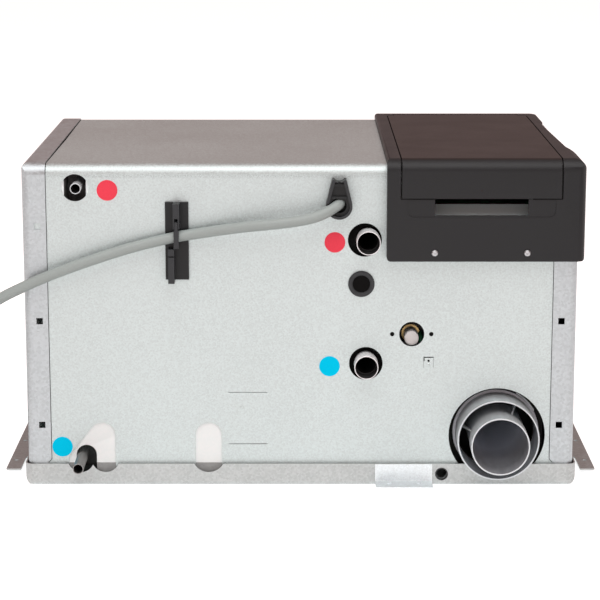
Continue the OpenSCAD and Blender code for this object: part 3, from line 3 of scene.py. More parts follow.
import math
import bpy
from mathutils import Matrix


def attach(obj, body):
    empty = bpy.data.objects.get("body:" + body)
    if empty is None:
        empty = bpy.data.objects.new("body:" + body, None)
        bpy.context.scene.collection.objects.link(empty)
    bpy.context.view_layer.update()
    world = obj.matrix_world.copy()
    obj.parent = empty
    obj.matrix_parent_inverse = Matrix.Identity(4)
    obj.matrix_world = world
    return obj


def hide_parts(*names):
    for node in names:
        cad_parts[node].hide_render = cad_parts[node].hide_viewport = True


bl_info = {
    "name": "Caravan Water Heater",
    "version": (1, 0, 0),
    "blender": (4, 5, 0),
    "location": "View3D > Sidebar > Water Heater",
    "description": "Dresses the CAD frame of a caravan water heater",
    "category": "Object",
}

import bmesh
import bpy
from bpy.props import FloatProperty, FloatVectorProperty, IntProperty, PointerProperty
from mathutils import Vector

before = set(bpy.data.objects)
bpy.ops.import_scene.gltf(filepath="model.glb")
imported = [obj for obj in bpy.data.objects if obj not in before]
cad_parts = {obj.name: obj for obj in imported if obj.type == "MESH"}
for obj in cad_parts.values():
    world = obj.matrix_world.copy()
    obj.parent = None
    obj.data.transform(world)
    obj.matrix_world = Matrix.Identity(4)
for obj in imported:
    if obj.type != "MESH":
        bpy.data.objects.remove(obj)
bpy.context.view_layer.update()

MM = 0.001

# The photograph's camera: place in metres, pitch below the horizon in degrees, lens on a 36 mm sensor
CAMERA_AT = (-0.0005, -2.106, 0.582)
CAMERA_PITCH = 11.85
CAMERA_LENS = 128.7
SENSOR = 36.0
CAMERA_CLIP = (0.01, 100.0)

# Lamps by name: place and size in metres, power in watts. All of them face one point
LAMPS = {
    "Key lamp": ((0.0, -1.7, 2.7), (3.0, 2.6), 59.5),
    "Overhead lamp": ((0.0, -0.15, 3.1), (3.0, 1.6), 9.0),
    "Front lamp": ((-0.3, -3.0, 0.3), (2.4, 0.5), 4.0),
}
LAMP_AIM = (0.0, 0.0, 0.15)

# Floor: half its width and its drop below the tray in metres, and the glow that the camera sees
FLOOR_HALF = 30.0
FLOOR_DROP = 0.0004
FLOOR_GLOW = 0.71

# Planes, bend and chamfer of the casing, in millimetres
PANEL_Y = -170.0
LIP_Y = -174.0
APRON_Y = -182.0
CASING_H = 302.0
BEND_R = 10.0
FLANGE_X = 233.0
CAP_CHAMFER = 3.5

# Places on the front, as x and z in millimetres
FLUE_AT = (183.3, 46.9)
FLOW_AT = (62.0, 232.0)
RETURN_AT = (60.6, 115.7)
HOT_AT = (-204.3, 281.4)
COLD_AT = (-204.3, 25.5)
GLAND_AT = (35.2, 265.0)
GROMMET_AT = (56.0, 191.0)
DRAIN_AT = (132.0, 10.2)
INLET_HOLES_AT = ((84.8, 143.5), (121.0, 143.5))
SCREWS_AT = ((122.5, 222.0), (206.9, 222.0))
GATE_AT = (164.5, 279.6)
DIMPLE_AT = (-54.5, 73.0)
BUMP_AT = (118.8, 114.2)

# Outlines of turned pieces: radius and height off a face in millimetres, True where lobes bend the ring
HOLE_SHADE = ((2.0, -0.6), (0.0, -0.6))
DIMPLE = ((2.2, 0.0), (1.9, 0.12), (1.3, 0.3), (0.0, 0.38))
BUMP = ((1.5, 0.0), (1.2, 0.25), (0.6, 0.45), (0.0, 0.5))
SCREW_HEAD = (
    (3.0, 0.0), (3.0, 0.7), (2.8, 1.25), (2.35, 1.7), (1.8, 1.95), (1.45, 2.0),
    (1.25, 1.9, True), (1.2, 0.9, True), (0.0, 0.7),
)
GATE_MARK = ((1.0, 0.0), (0.8, 0.15), (0.5, 0.2), (0.3, 0.05), (0.0, 0.05))
GLAND_EYE = ((6.7, 0.0), (0.0, 0.0))
BLANK_GROMMET = (
    (9.95, -2.0), (9.95, 0.0), (12.1, 0.0), (12.15, 1.3), (11.9, 1.8), (11.3, 2.15),
    (10.4, 2.2), (9.2, 2.0), (8.4, 1.5), (8.0, 1.0), (7.9, 0.4),
)
GROMMET_WELL = ((7.95, 0.7), (7.6, 0.4), (0.0, 0.4))
DRAIN_RING = (
    (5.45, -1.2), (5.45, 0.0), (5.9, 0.0), (6.0, 0.4), (5.8, 0.7), (5.5, 0.8),
    (5.1, 0.7), (4.9, 0.4), (4.8, 0.0), (4.8, -1.2), (5.45, -1.2),
)

# Socket of the screws: how many lobes, and their depth as a share of the radius
SOCKET_LOBES = 6
SOCKET_DEPTH = 0.16

# Depths and reaches at which a piece changes its finish, in millimetres, where painted shade, painted
# highlight and painted light begin
FLUE_DEPTH = (-190.0, -130.0)
MOUTH_DEPTH = 10.0
HOT_WELL = 26.0
WELL_BEHIND = 2.0
GLAND_EYE_Y = -175.7
GLAND_RIM_Y = -182.5
CLIP_RIDGE_Y = -175.0
LID_JOINT = 1.0

# How far the normal of a face leans to an axis before the face counts as looking along it
FACING = 0.9
# Faces of the lid that lean forward past this take the black plastic; the others keep the brown painted
# reflection of its top
LID_FACING = 0.35
BORE_FACING = 0.5

# Painted shade line in the joint around the lid's front, in millimetres: reach over housing and lid, height,
# finger slot
JOINT_OUT = 0.7
JOINT_OVER = 0.28
JOINT_PROUD = 0.05
SLOT_X = (123.5, 211.0)

# Painted shadow line in the gap along the end caps: three widths, overlap and height in millimetres, step in
# degrees
SEAM_FRONT = 0.5
SEAM_BEND = 0.6
SEAM_TOP = 1.5
SEAM_OVER = 0.2
SEAM_PROUD = 0.1
SEAM_STEP = 10

# Folded top of the tray's front lip, in millimetres: height, stretches between notches, section
LIP_Z = 20.0
LIP_HEM_X = ((-250.0, -220.0), (-170.0, -100.0), (-70.0, 146.0), (221.0, 250.0))
HEM_BEHIND = 0.4
HEM_BELOW = 0.9
HEM_CLEAR = 0.1

# Lapped end of the collar around the air intake: angles in degrees, the rest in millimetres
LAP_FROM = 30
LAP_TO = 62
LAP_STEP = 2
LAP_INNER = 40.5
LAP_OUTER = 41.4
LAP_FRONT_Y = -158
LAP_REAR_Y = -149
LAP_LEAN = 0.12

# Earth wire from the face of the gas valve, seen past the inlet cap, in millimetres
VALVE_WIRE = (
    (111.5, -141, 139), (111.8, -147, 138.5), (112.5, -150, 133), (114, -149, 124), (116, -145, 114),
)
VALVE_WIRE_R = 2.4

# Route of the mains cable from the gland, over the clip and down to the floor, in millimetres
LEAD = (
    (36.6, -171.5, 267.4), (35.2, -177, 266.5), (28.4, -182, 262.5), (19.7, -187, 258.5),
    (8, -190, 255), (-10, -191, 252), (-30, -190, 249.5), (-50, -187, 247), (-72, -183, 243.5),
    (-92, -179.6, 240), (-113, -178, 236.4), (-133, -178, 231.9), (-155, -179.5, 226.4),
    (-180, -181, 218.9), (-205, -182, 210.4), (-230, -182, 200.9), (-255, -182, 189.9),
    (-279, -181, 177.3), (-301, -179, 161.3), (-317, -176, 142.3), (-328, -171, 120.2),
    (-334, -164, 97.2), (-337, -156, 74.1), (-338, -146, 52.1), (-338, -132, 33.1),
    (-338, -114, 17.5), (-338, -96, 9), (-338, -85, 6.5), (-338, -74, 6.5),
)

# Coil of the cable on the floor, in millimetres, with its step in degrees
COIL_CENTRE = (-398.0, -62.0)
COIL_OUTER = 60.0
COIL_PITCH = 11.5
COIL_RISE = 11.0
COIL_TURNS = 3
COIL_STEP = 15
LAY_Z = 6.5
COIL_TAIL = 12.0

# Cores at the cable's far end: angles in degrees, sizes in millimetres, strand as a share of the radius
CORE_ANGLES = (90, 210, 330)
CORE_OFFSET = 2.4
CORE_R = 1.5
CORE_COVERED_Y = (0.0, 13.0, 26.0)
CORE_BARE_Y = (26.0, 30.0, 34.0)
STRAND_SHARE = 0.66
THREAD_STEPS = 6

# Rounding of meshes: merging distance in metres, angles in degrees, and shares of an edge's rounding
MERGE = 1e-6
FLAT_ANGLE = 0.5
BEVEL_ANGLE = 40.0
SMOOTH_ANGLE = 35.0
TURNED_ANGLE = 50.0
FRONT_FOOT_EDGE = 2.0
STRAP_EDGE = 0.8

# Finish of every CAD node that stays in view
NODE_FINISH = {
    "wrap_sheet": ("casing_wrap",),
    "zinc_sheet": ("fan_housing", "fan_cover", "burner_body"),
    "shaded_sheet": ("air_box",),
    "cap_sheet": ("left_end_cap", "right_end_cap"),
    "tray_sheet": ("base_tray",),
    "black_plastic": (
        "intake_duct", "fan_rotor", "fan_motor", "valve_coils", "board_components",
    ),
    # The pipe seals are painted near black as the shade in the holes around the pipes, darker than their own
    # colour
    "gap_shade": ("pipe_seals",),
    "stainless": (
        "lid_pins", "clip_pin", "flue_collector", "tank_shell", "jacket_shell",
        "heat_exchanger", "tank_end_plate", "end_plate_bolts", "burner_tube", "valve_plunger_1",
        "valve_plunger_2",
    ),
    "dull_steel": ("flue_spacers",),
    "cast_alloy": ("gas_valve",),
    "copper": ("immersion_heaters", "gas_pipe"),
    "brass": ("gas_inlet",),
    "white_plastic": ("gas_inlet_cap", "ignition_electrode"),
    "label_sheet": ("label_plate",),
    "board_green": ("control_board",),
    "red_sticker": ("red_dots",),
    "blue_sticker": ("blue_dots",),
}

# Shares and ranges that mix grain and cloud into tone, roughness, and the edge band lightened where worn and
# as painted highlight
FINE_SHARE = 0.6
WIDE_SHARE = 0.4
TONE_RANGE = (0.28, 0.72)
ROUGH_RANGE = (0.25, 0.75)
EDGE_PATCH_RANGE = (0.3, 0.7)
EDGE_PATCH_SHARE = (0.2, 1.0)
EDGE_TURN = (0.99, 0.80)
EDGE_SAMPLES = 4
SOFT_WEIGHT = 0.8

# Specks along the top bend: drop below it in millimetres, band in metres, grain, contrast and tint
SPECK_DROP = 1.0
SPECK_BAND = (0.0005, 0.0024)
SPECK_GRAIN = 900
SPECK_RANGE = (0.44, 0.62)
SPECK_SHARE = 0.42
SPECK_TINT = 0.35

# What finishes of one kind share
ZINC = dict(grain=900, cloud=9, spread=0.11, rough=(0.44, 0.60), metallic=0.85, bump=0.08, wear_and_sheen=1.15)
GALVANISED = dict(grain=700, metallic=0.85, bump=0.12)
MOULDED = dict(grain=1800, cloud=25, spread=0.16, bump=0.12, specular=0.3, wear_and_sheen=1.15)
DRAWN = dict(grain=300, cloud=35, stretch=(1.0, 0.06, 1.0), bump=0.05)
BORE = dict(grain=300, cloud=45, rough=(0.50, 0.70), stretch=(1.0, 0.2, 1.0), bump=0.08)
FOAM = dict(grain=420, cloud=30, cells=380, rough=(0.75, 0.9))
STICKER = dict(grain=900, cloud=40, spread=0.05, rough=(0.45, 0.55), bump=0.05, specular=0.03)
CORE = dict(grain=900, cloud=80, spread=0.08, rough=(0.40, 0.50))


def colour(name, description, default):
    """A colour that a user may change."""
    return FloatVectorProperty(
        name=name, description=description, default=default, subtype="COLOR", size=3, min=0.0, max=1.0
    )


def length(name, description, default):
    """A length that a user may change, in metres."""
    return FloatProperty(
        name=name, description=description, default=default, unit="LENGTH", subtype="DISTANCE",
        min=0.0, precision=5,
    )


class HeaterColours(bpy.types.PropertyGroup):
    """Colours of the finishes."""

    zinc: colour("Zinc sheet", "Galvanised sheet of the casing, fan and burner", (0.546, 0.616, 0.615))
    tray: colour("Tray sheet", "Galvanised sheet of the tray and side feet", (0.450, 0.480, 0.478))
    cap: colour("Cap sheet", "Galvanised sheet of the end caps", (0.462, 0.506, 0.522))
    foot: colour("Front foot sheet", "Bright zinc of the front foot", (0.73, 0.79, 0.81))
    plastic: colour("Black plastic", "Control housing and the lid's front", (0.0125, 0.0136, 0.0150))
    # The brown of the lid's top is a painted reflection of the warm room on its black plastic
    lid: colour("Lid plastic", "Brownish black of the lid's top", (0.0120, 0.0088, 0.0082))
    fitting: colour("Fitting plastic", "Gland and cable clip", (0.0068, 0.0084, 0.0092))
    # Colour of the grommets and drain ring; on the raised front faces of gland and clip this paler tone is a
    # painted highlight
    rubber: colour("Rubber", "Grommets and the raised faces of gland and clip", (0.023, 0.027, 0.030))
    # Near black of painted shade: the shadow lines along the end caps and around the lid, the dark discs in
    # holes, the pipe seals and the air box
    painted_shade: colour("Dark gap", "Seams, joints, seals and the depths of holes", (0.005, 0.005, 0.005))
    sheath: colour("Cable sheath", "Grey sheath of the mains cable", (0.340, 0.402, 0.392))
    steel: colour("Stainless steel", "Tank, burner tube, pins and bared strands", (0.60, 0.59, 0.58))
    flue: colour("Flue steel", "Dull steel of the flue, air intake and hot water pipe", (0.60, 0.65, 0.67))
    heating: colour("Heating pipe", "Bright drawn steel of the flow and return pipes", (0.84, 0.86, 0.87))
    # Darker than the other steel of the pipes
    cold: colour("Cold pipe", "Tarnished steel of the cold water pipe", (0.24, 0.245, 0.24))
    screw: colour("Screw steel", "Screws of the apron", (0.47, 0.485, 0.50))
    # Near black of painted shade inside the heating and water pipes and on their step faces deeper in
    bore_shade: colour("Pipe inside", "Dark inside of the heating and water pipes", (0.06, 0.06, 0.062))
    # Inside of the flue and air intake: painted shade near the mouth, lightened deeper in as painted light
    flue_inside_shade: colour("Flue inside", "Sooted inside of the flue and air intake", (0.27, 0.285, 0.305))
    alloy: colour("Cast alloy", "Blackened body of the gas valve", (0.07, 0.07, 0.075))
    brass: colour("Brass", "Gas inlet", (0.72, 0.52, 0.24))
    copper: colour("Copper", "Gas pipe and immersion heaters", (0.72, 0.40, 0.26))
    white: colour("White plastic", "Inlet cap and electrode", (0.74, 0.755, 0.74))
    label: colour("Blank label", "Plate behind the finger slot", (0.80, 0.97, 1.0))
    board: colour("Circuit board", "Control board and the wire end at the gas valve", (0.02, 0.15, 0.07))
    # Painted shade on the foam's front below the top of the tray lip
    foam_foot_shade: colour("Foam foot", "Grey foot of the insulation behind the tray lip", (0.33, 0.35, 0.35))
    # Painted shade on the foam in the pocket around the hot pipe
    foam_well_shade: colour("Foam well", "Dark pocket around the hot pipe", (0.24, 0.24, 0.24))
    foam: colour("Foam", "Insulation behind the pipe slots", (0.91, 1.0, 1.0))
    red: colour("Red sticker", "Dots beside the hot pipes", (0.91, 0.073, 0.112))
    blue: colour("Blue sticker", "Dots beside the cold pipes", (0.0, 0.65, 1.0))
    brown: colour("Brown core", "Live core of the cable", (0.13, 0.05, 0.022))
    core_blue: colour("Blue core", "Neutral core of the cable", (0.03, 0.16, 0.50))
    green: colour("Green core", "Earth core of the cable", (0.25, 0.45, 0.03))
    floor: colour("Floor", "Plain pale floor", (0.90, 0.90, 0.90))
    world: colour("Room", "Dim warm room around the object", (0.432, 0.306, 0.285))


class HeaterSizes(bpy.types.PropertyGroup):
    """Sizes that belong to the looks alone."""

    cable: length("Cable diameter", "Outside diameter of the mains cable", 0.010)
    moulded_edge: length("Moulded edge", "Rounding of the housing's and lid's edges", 0.0009)
    small_edge: length("Small edge", "Rounding of small moulded pieces", 0.0004)
    sheet_edge: length("Sheet edge", "Rounding of cut sheet and foam edges", 0.0003)
    rim_edge: length("Pipe rim", "Rounding of the pipe rims", 0.0003)
    spangle: length("Spangle", "Width of the zinc crystals", 0.0013)
    # Width of the band along edges that finishes lighten, where worn and as painted highlight
    wear_and_sheen: length("Edge wear", "Width of the rubbed band along edges", 0.0010)
    edge_steps: IntProperty(
        name="Edge steps", description="Segments of each rounded edge", default=3, min=1, max=6
    )


def sizes():
    return bpy.context.scene.heater_sizes


def colours():
    return bpy.context.scene.heater_colours


class Finish:
    """A principled material and the few node recipes that the finishes share."""

    def __init__(self, name):
        self.material = bpy.data.materials.new(name)
        self.material.use_nodes = True
        self.tree = self.material.node_tree
        self.shader = self.tree.nodes["Principled BSDF"]
        self.place = self.add("ShaderNodeTexCoord").outputs["Object"]

    def add(self, kind):
        return self.tree.nodes.new(kind)

    def join(self, value, socket):
        if isinstance(value, bpy.types.NodeSocket):
            self.tree.links.new(value, socket)
        else:
            socket.default_value = value

    def stretched(self, scale):
        node = self.add("ShaderNodeMapping")
        node.inputs["Scale"].default_value = scale
        self.join(self.place, node.inputs["Vector"])
        return node.outputs["Vector"]

    def noise(self, scale, detail=3.0, place=None):
        node = self.add("ShaderNodeTexNoise")
        node.inputs["Scale"].default_value = scale
        node.inputs["Detail"].default_value = detail
        self.join(place or self.place, node.inputs["Vector"])
        return node.outputs["Fac"]

    def cells(self, scale):
        node = self.add("ShaderNodeTexVoronoi")
        node.inputs["Scale"].default_value = scale
        self.join(self.place, node.inputs["Vector"])
        grey = self.add("ShaderNodeRGBToBW")
        self.join(node.outputs["Color"], grey.inputs["Color"])
        return grey.outputs["Val"]

    def math(self, operation, a, b):
        node = self.add("ShaderNodeMath")
        node.operation = operation
        self.join(a, node.inputs[0])
        self.join(b, node.inputs[1])
        return node.outputs["Value"]

    def spread(self, value, given, wanted=(0.0, 1.0)):
        """Maps a value from the given range to the wanted one."""
        node = self.add("ShaderNodeMapRange")
        for key, number in zip(("From Min", "From Max", "To Min", "To Max"), (*given, *wanted)):
            node.inputs[key].default_value = number
        self.join(value, node.inputs["Value"])
        return node.outputs["Result"]

    def blend(self, factor, dark, light):
        node = self.add("ShaderNodeMix")
        node.data_type = "RGBA"
        self.join(factor, node.inputs["Factor"])
        first, second = [socket for socket in node.inputs if socket.type == "RGBA"]
        self.join(dark, first)
        self.join(light, second)
        return next(socket for socket in node.outputs if socket.type == "RGBA")

    def along(self, axis):
        """Where a point lies along one axis of its object, in metres."""
        apart = self.add("ShaderNodeSeparateXYZ")
        self.join(self.place, apart.inputs["Vector"])
        return apart.outputs[axis]

    def edges(self, width):
        """How near a point lies to a sharp edge: 0 on the flat, 1 on the edge."""
        rounded = self.add("ShaderNodeBevel")
        rounded.samples = EDGE_SAMPLES
        rounded.inputs["Radius"].default_value = width
        plain_normal = self.add("ShaderNodeNewGeometry").outputs["Normal"]
        turn = self.add("ShaderNodeVectorMath")
        turn.operation = "DOT_PRODUCT"
        self.join(rounded.outputs["Normal"], turn.inputs[0])
        self.join(plain_normal, turn.inputs[1])
        return self.spread(turn.outputs["Value"], EDGE_TURN)

    def pressed_row(self, height):
        """Row of dark specks that the bending tool leaves along a height."""
        away = self.math("ABSOLUTE", self.math("SUBTRACT", self.along("Z"), height), 0.0)
        band = self.spread(away, SPECK_BAND, (1.0, 0.0))
        specks = self.spread(self.noise(SPECK_GRAIN, detail=2.0), SPECK_RANGE, (0.0, SPECK_SHARE))
        return self.math("MULTIPLY", band, specks)

    def inwards(self, start, end):
        """How far in from the front a point lies: 0 at the start, 1 at the end."""
        return self.spread(self.along("Y"), (start * MM, end * MM))

    def bump(self, height, strength, depth):
        node = self.add("ShaderNodeBump")
        node.inputs["Strength"].default_value = strength
        node.inputs["Distance"].default_value = depth
        self.join(height, node.inputs["Height"])
        self.join(node.outputs["Normal"], self.shader.inputs["Normal"])


def tinted(base, amount):
    return (*(min(1.0, channel * amount) for channel in base), 1.0)


def surface(
    name, base, *, grain, cloud, spread, rough, metallic=0.0, cells=0.0, stretch=None,
    bump=0.15, depth=0.00004, specular=0.5, wear_and_sheen=1.0, pressed=0.0, soft=0.0, deeper=1.0,
):
    """A finish whose tone, roughness and relief come from grain and cloud, with edges lightened where worn
    and as painted highlight, and, where deeper is set, colour lightened further in along Y as painted light.
    """
    made = Finish(name)
    place = made.stretched(stretch) if stretch else None
    fine = made.cells(cells) if cells else made.noise(grain, place=place)
    wide = made.noise(cloud, detail=4.0)
    tone = made.math(
        "ADD", made.math("MULTIPLY", fine, FINE_SHARE), made.math("MULTIPLY", wide, WIDE_SHARE)
    )
    factor = made.spread(tone, TONE_RANGE)
    tone_colour = made.blend(factor, tinted(base, 1 - spread), tinted(base, 1 + spread))
    # Edges lightened where worn, and as painted highlight where edges catch the light
    if wear_and_sheen != 1.0:
        patchy = made.spread(wide, EDGE_PATCH_RANGE, EDGE_PATCH_SHARE)
        worn_and_lit = made.math("MULTIPLY", made.edges(sizes().wear_and_sheen), patchy)
        tone_colour = made.blend(worn_and_lit, tone_colour, tinted(base, wear_and_sheen))
    if pressed:
        tone_colour = made.blend(made.pressed_row(pressed), tone_colour, tinted(base, SPECK_TINT))
    # Painted light: the colour grows lighter further in along Y, over the depth of the flue
    if deeper != 1.0:
        tone_colour = made.blend(made.inwards(*FLUE_DEPTH), tone_colour, tinted(base, deeper))
    made.join(tone_colour, made.shader.inputs["Base Color"])
    made.join(made.spread(tone, ROUGH_RANGE, rough), made.shader.inputs["Roughness"])
    made.shader.inputs["Metallic"].default_value = metallic
    made.shader.inputs["Specular IOR Level"].default_value = specular
    if soft:
        made.shader.inputs["Subsurface Weight"].default_value = SOFT_WEIGHT
        made.shader.inputs["Subsurface Radius"].default_value = (1.0, 1.0, 1.0)
        made.shader.inputs["Subsurface Scale"].default_value = soft
    made.bump(made.noise(grain, place=place), bump, depth)
    return made.material


def finish_recipes():
    """Every finish by its slot: a name, a base colour and what its grain looks like."""
    c = colours()
    spangle = 1.0 / sizes().spangle
    speck_row = (CASING_H - BEND_R - SPECK_DROP) * MM
    return {
        "zinc_sheet": ("Zinc sheet", c.zinc, dict(ZINC, cells=spangle)),
        "wrap_sheet": ("Wrap sheet", c.zinc, dict(ZINC, cells=spangle, pressed=speck_row)),
        "cap_sheet": ("Cap sheet", c.cap, dict(
            GALVANISED, cloud=60, cells=spangle * 0.6, spread=0.13, rough=(0.36, 0.54), wear_and_sheen=1.18,
        )),
        # This finish's strong edge lightening paints highlights along the foot's top edge and bend
        "foot_sheet": ("Front foot sheet", c.foot, dict(
            GALVANISED, cloud=70, cells=spangle, spread=0.08, rough=(0.36, 0.50), metallic=0.8, wear_and_sheen=1.6,
        )),
        "tray_sheet": ("Tray sheet", c.tray, dict(
            GALVANISED, cloud=40, cells=spangle * 0.7, spread=0.14, rough=(0.40, 0.56), wear_and_sheen=1.22,
        )),
        "black_plastic": ("Black plastic", c.plastic, dict(MOULDED, rough=(0.38, 0.52))),
        # The lid's top: black plastic tinted brown as a painted reflection of the warm room
        "lid_top_reflection": ("Lid plastic", c.lid, dict(MOULDED, rough=(0.36, 0.50))),
        # This finish's strong edge lightening paints highlights along the rims of gland and clip
        "fitting_plastic": ("Fitting plastic", c.fitting, dict(
            MOULDED, rough=(0.34, 0.46), bump=0.08, wear_and_sheen=9.0,
        )),
        "rubber": ("Rubber", c.rubber, dict(
            grain=700, cloud=60, spread=0.20, rough=(0.55, 0.70), bump=0.12, wear_and_sheen=1.4,
        )),
        # Painted shade in gaps, joints, seals and the depths of holes
        "gap_shade": ("Dark gap", c.painted_shade, dict(
            grain=700, cloud=60, spread=0.30, rough=(0.75, 0.9), bump=0.1, specular=0.1,
        )),
        "cable_sheath": ("Cable sheath", c.sheath, dict(
            grain=500, cloud=22, spread=0.05, rough=(0.42, 0.52), bump=0.08,
        )),
        "stainless": ("Stainless steel", c.steel, dict(
            DRAWN, spread=0.08, rough=(0.24, 0.36), metallic=1.0, bump=0.04, wear_and_sheen=1.4,
        )),
        "dull_steel": ("Flue steel", c.flue, dict(
            DRAWN, spread=0.08, rough=(0.42, 0.58), metallic=0.7, wear_and_sheen=1.35,
        )),
        "drawn_steel": ("Heating pipe", c.heating, dict(
            DRAWN, spread=0.10, rough=(0.34, 0.50), metallic=0.35, wear_and_sheen=1.1,
        )),
        "dark_cold_steel": ("Cold pipe", c.cold, dict(
            DRAWN, spread=0.15, rough=(0.40, 0.55), metallic=0.7, wear_and_sheen=2.0,
        )),
        "pipe_inside_shade": ("Pipe inside", c.bore_shade, dict(BORE, spread=0.25, metallic=0.4)),
        # The flue and air intake inside: painted shade, lightened deeper in as painted light
        "flue_inside_shade_and_light": ("Flue inside", c.flue_inside_shade, dict(BORE, spread=0.22, metallic=0.2, deeper=3.2)),
        "screw_steel": ("Screw steel", c.screw, dict(
            grain=900, cloud=300, spread=0.20, rough=(0.35, 0.50), metallic=0.9, wear_and_sheen=1.5,
        )),
        "shaded_sheet": ("Shaded sheet", c.painted_shade, dict(
            grain=700, cloud=40, spread=0.30, rough=(0.55, 0.70), metallic=0.3,
        )),
        "cast_alloy": ("Cast alloy", c.alloy, dict(
            grain=800, cloud=40, spread=0.12, rough=(0.45, 0.60), metallic=0.9, bump=0.25, depth=0.0001,
            wear_and_sheen=1.3,
        )),
        "brass": ("Brass", c.brass, dict(
            grain=500, cloud=60, spread=0.12, rough=(0.25, 0.40), metallic=1.0, wear_and_sheen=1.2,
        )),
        "copper": ("Copper", c.copper, dict(
            grain=500, cloud=40, spread=0.14, rough=(0.28, 0.42), metallic=1.0, wear_and_sheen=1.2,
        )),
        "white_plastic": ("White plastic", c.white, dict(
            grain=900, cloud=50, spread=0.05, rough=(0.40, 0.50), soft=0.02,
        )),
        "label_sheet": ("Blank label", c.label, dict(
            grain=1200, cloud=30, spread=0.06, rough=(0.30, 0.40),
        )),
        "board_green": ("Circuit board", c.board, dict(
            grain=600, cloud=80, cells=260, spread=0.35, rough=(0.30, 0.45),
        )),
        "white_foam": ("White foam", c.foam, dict(FOAM, spread=0.02, bump=0.25, depth=0.0001)),
        "foam_foot_shade": ("Foam foot", c.foam_foot_shade, dict(FOAM, spread=0.08)),
        "foam_well_shade": ("Foam well", c.foam_well_shade, dict(FOAM, spread=0.15)),
        "red_sticker": ("Red sticker", c.red, STICKER),
        "blue_sticker": ("Blue sticker", c.blue, STICKER),
        "brown_core": ("Brown core", c.brown, CORE),
        "blue_core": ("Blue core", c.core_blue, CORE),
        "green_core": ("Green core", c.green, dict(CORE, cells=140, spread=0.45)),
    }


MADE = {}


def finish(slot):
    """The material of a slot, made once."""
    if slot not in MADE:
        name, base, looks = finish_recipes()[slot]
        MADE[slot] = surface(name, base, **looks)
    return MADE[slot]


def link(obj):
    bpy.context.scene.collection.objects.link(obj)
    return obj


def solid(name, shape):
    """Turns a finished bmesh into an object of the scene."""
    mesh = bpy.data.meshes.new(name)
    shape.to_mesh(mesh)
    shape.free()
    return link(bpy.data.objects.new(name, mesh))


def smooth(mesh, angle=SMOOTH_ANGLE):
    mesh.shade_smooth()
    mesh.set_sharp_from_angle(angle=math.radians(angle))


def piece(obj, body, slot, *nodes):
    """Paints a piece and fixes it to its body, in place of the CAD nodes it stands for."""
    obj.data.materials.append(finish(slot))
    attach(obj, body)
    if nodes:
        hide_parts(*nodes)
    return obj


def softened(name, node, body, slot, width):
    """A copy of a CAD node with its sharp edges rounded as a moulding or cut sheet has them."""
    shape = bmesh.new()
    shape.from_mesh(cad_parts[node].data)
    bmesh.ops.remove_doubles(shape, verts=shape.verts, dist=MERGE)
    bmesh.ops.dissolve_limit(
        shape, angle_limit=math.radians(FLAT_ANGLE), verts=shape.verts, edges=shape.edges
    )
    obj = solid(name, shape)
    smooth(obj.data)
    edges = obj.modifiers.new("Edges", "BEVEL")
    edges.width = width
    edges.segments = sizes().edge_steps
    edges.limit_method = "ANGLE"
    edges.angle_limit = math.radians(BEVEL_ANGLE)
    edges.harden_normals = True
    return piece(obj, body, slot, node)


def refinish(obj, slot, picked):
    """Gives a second finish to the faces of a piece that picked() chooses."""
    materials = obj.data.materials
    materials.append(finish(slot))
    for face in obj.data.polygons:
        if picked(face):
            face.material_index = len(materials) - 1


def looks_forward(face):
    return face.normal.y < -FACING


def forward_past(y):
    """Picks the faces that look forward and stand out past a depth in millimetres."""
    return lambda face: looks_forward(face) and face.center.y < y * MM


def spoke(angle):
    """Direction in the plane of the front at an angle in degrees from +X."""
    return Vector((math.cos(math.radians(angle)), 0.0, math.sin(math.radians(angle))))


def bridge(shape, rings):
    """Joins each closed ring of points to the next with faces. A ring may be one point on the axis."""
    count = max(len(ring) for ring in rings)
    for near, far in zip(rings, rings[1:]):
        for k in range(count):
            n = (k + 1) % count
            corners = (near[k % len(near)], near[n % len(near)], far[n % len(far)], far[k % len(far)])
            unique = list(dict.fromkeys(corners))
            if len(unique) > 2:
                shape.faces.new(unique)


def turned(name, face_y, outlines, lobes=0.0, steps=72):
    """Shapes turned around axes along Y, off one face. Each is a place on the front and an outline."""
    shape = bmesh.new()
    for (x, z), outline in outlines:
        rings = []
        for radius, height, *lobed in outline:
            y = face_y - height
            if radius <= 0:
                rings.append([shape.verts.new((x * MM, y * MM, z * MM))])
                continue
            ring = []
            for k in range(steps):
                a = 2 * math.pi * k / steps
                r = radius * (1 + (lobes * math.cos(SOCKET_LOBES * a) if lobed else 0.0))
                at = ((x + r * math.cos(a)) * MM, y * MM, (z + r * math.sin(a)) * MM)
                ring.append(shape.verts.new(at))
            rings.append(ring)
        bridge(shape, rings)
    bmesh.ops.recalc_face_normals(shape, faces=shape.faces)
    obj = solid(name, shape)
    smooth(obj.data, TURNED_ANGLE)
    return obj


def thread(name, radius):
    """An empty curve with a round section."""
    curve = bpy.data.curves.new(name, "CURVE")
    curve.dimensions = "3D"
    curve.bevel_depth = radius
    curve.bevel_resolution = THREAD_STEPS
    curve.resolution_u = THREAD_STEPS
    curve.use_fill_caps = True
    return curve


def drawn(curve, points, slot_index=0):
    """Adds a smooth line through points to a curve."""
    spline = curve.splines.new("BEZIER")
    spline.bezier_points.add(len(points) - 1)
    for knot, at in zip(spline.bezier_points, points):
        knot.co = at
        knot.handle_left_type = "AUTO"
        knot.handle_right_type = "AUTO"
    spline.use_smooth = True
    spline.material_index = slot_index
    return spline


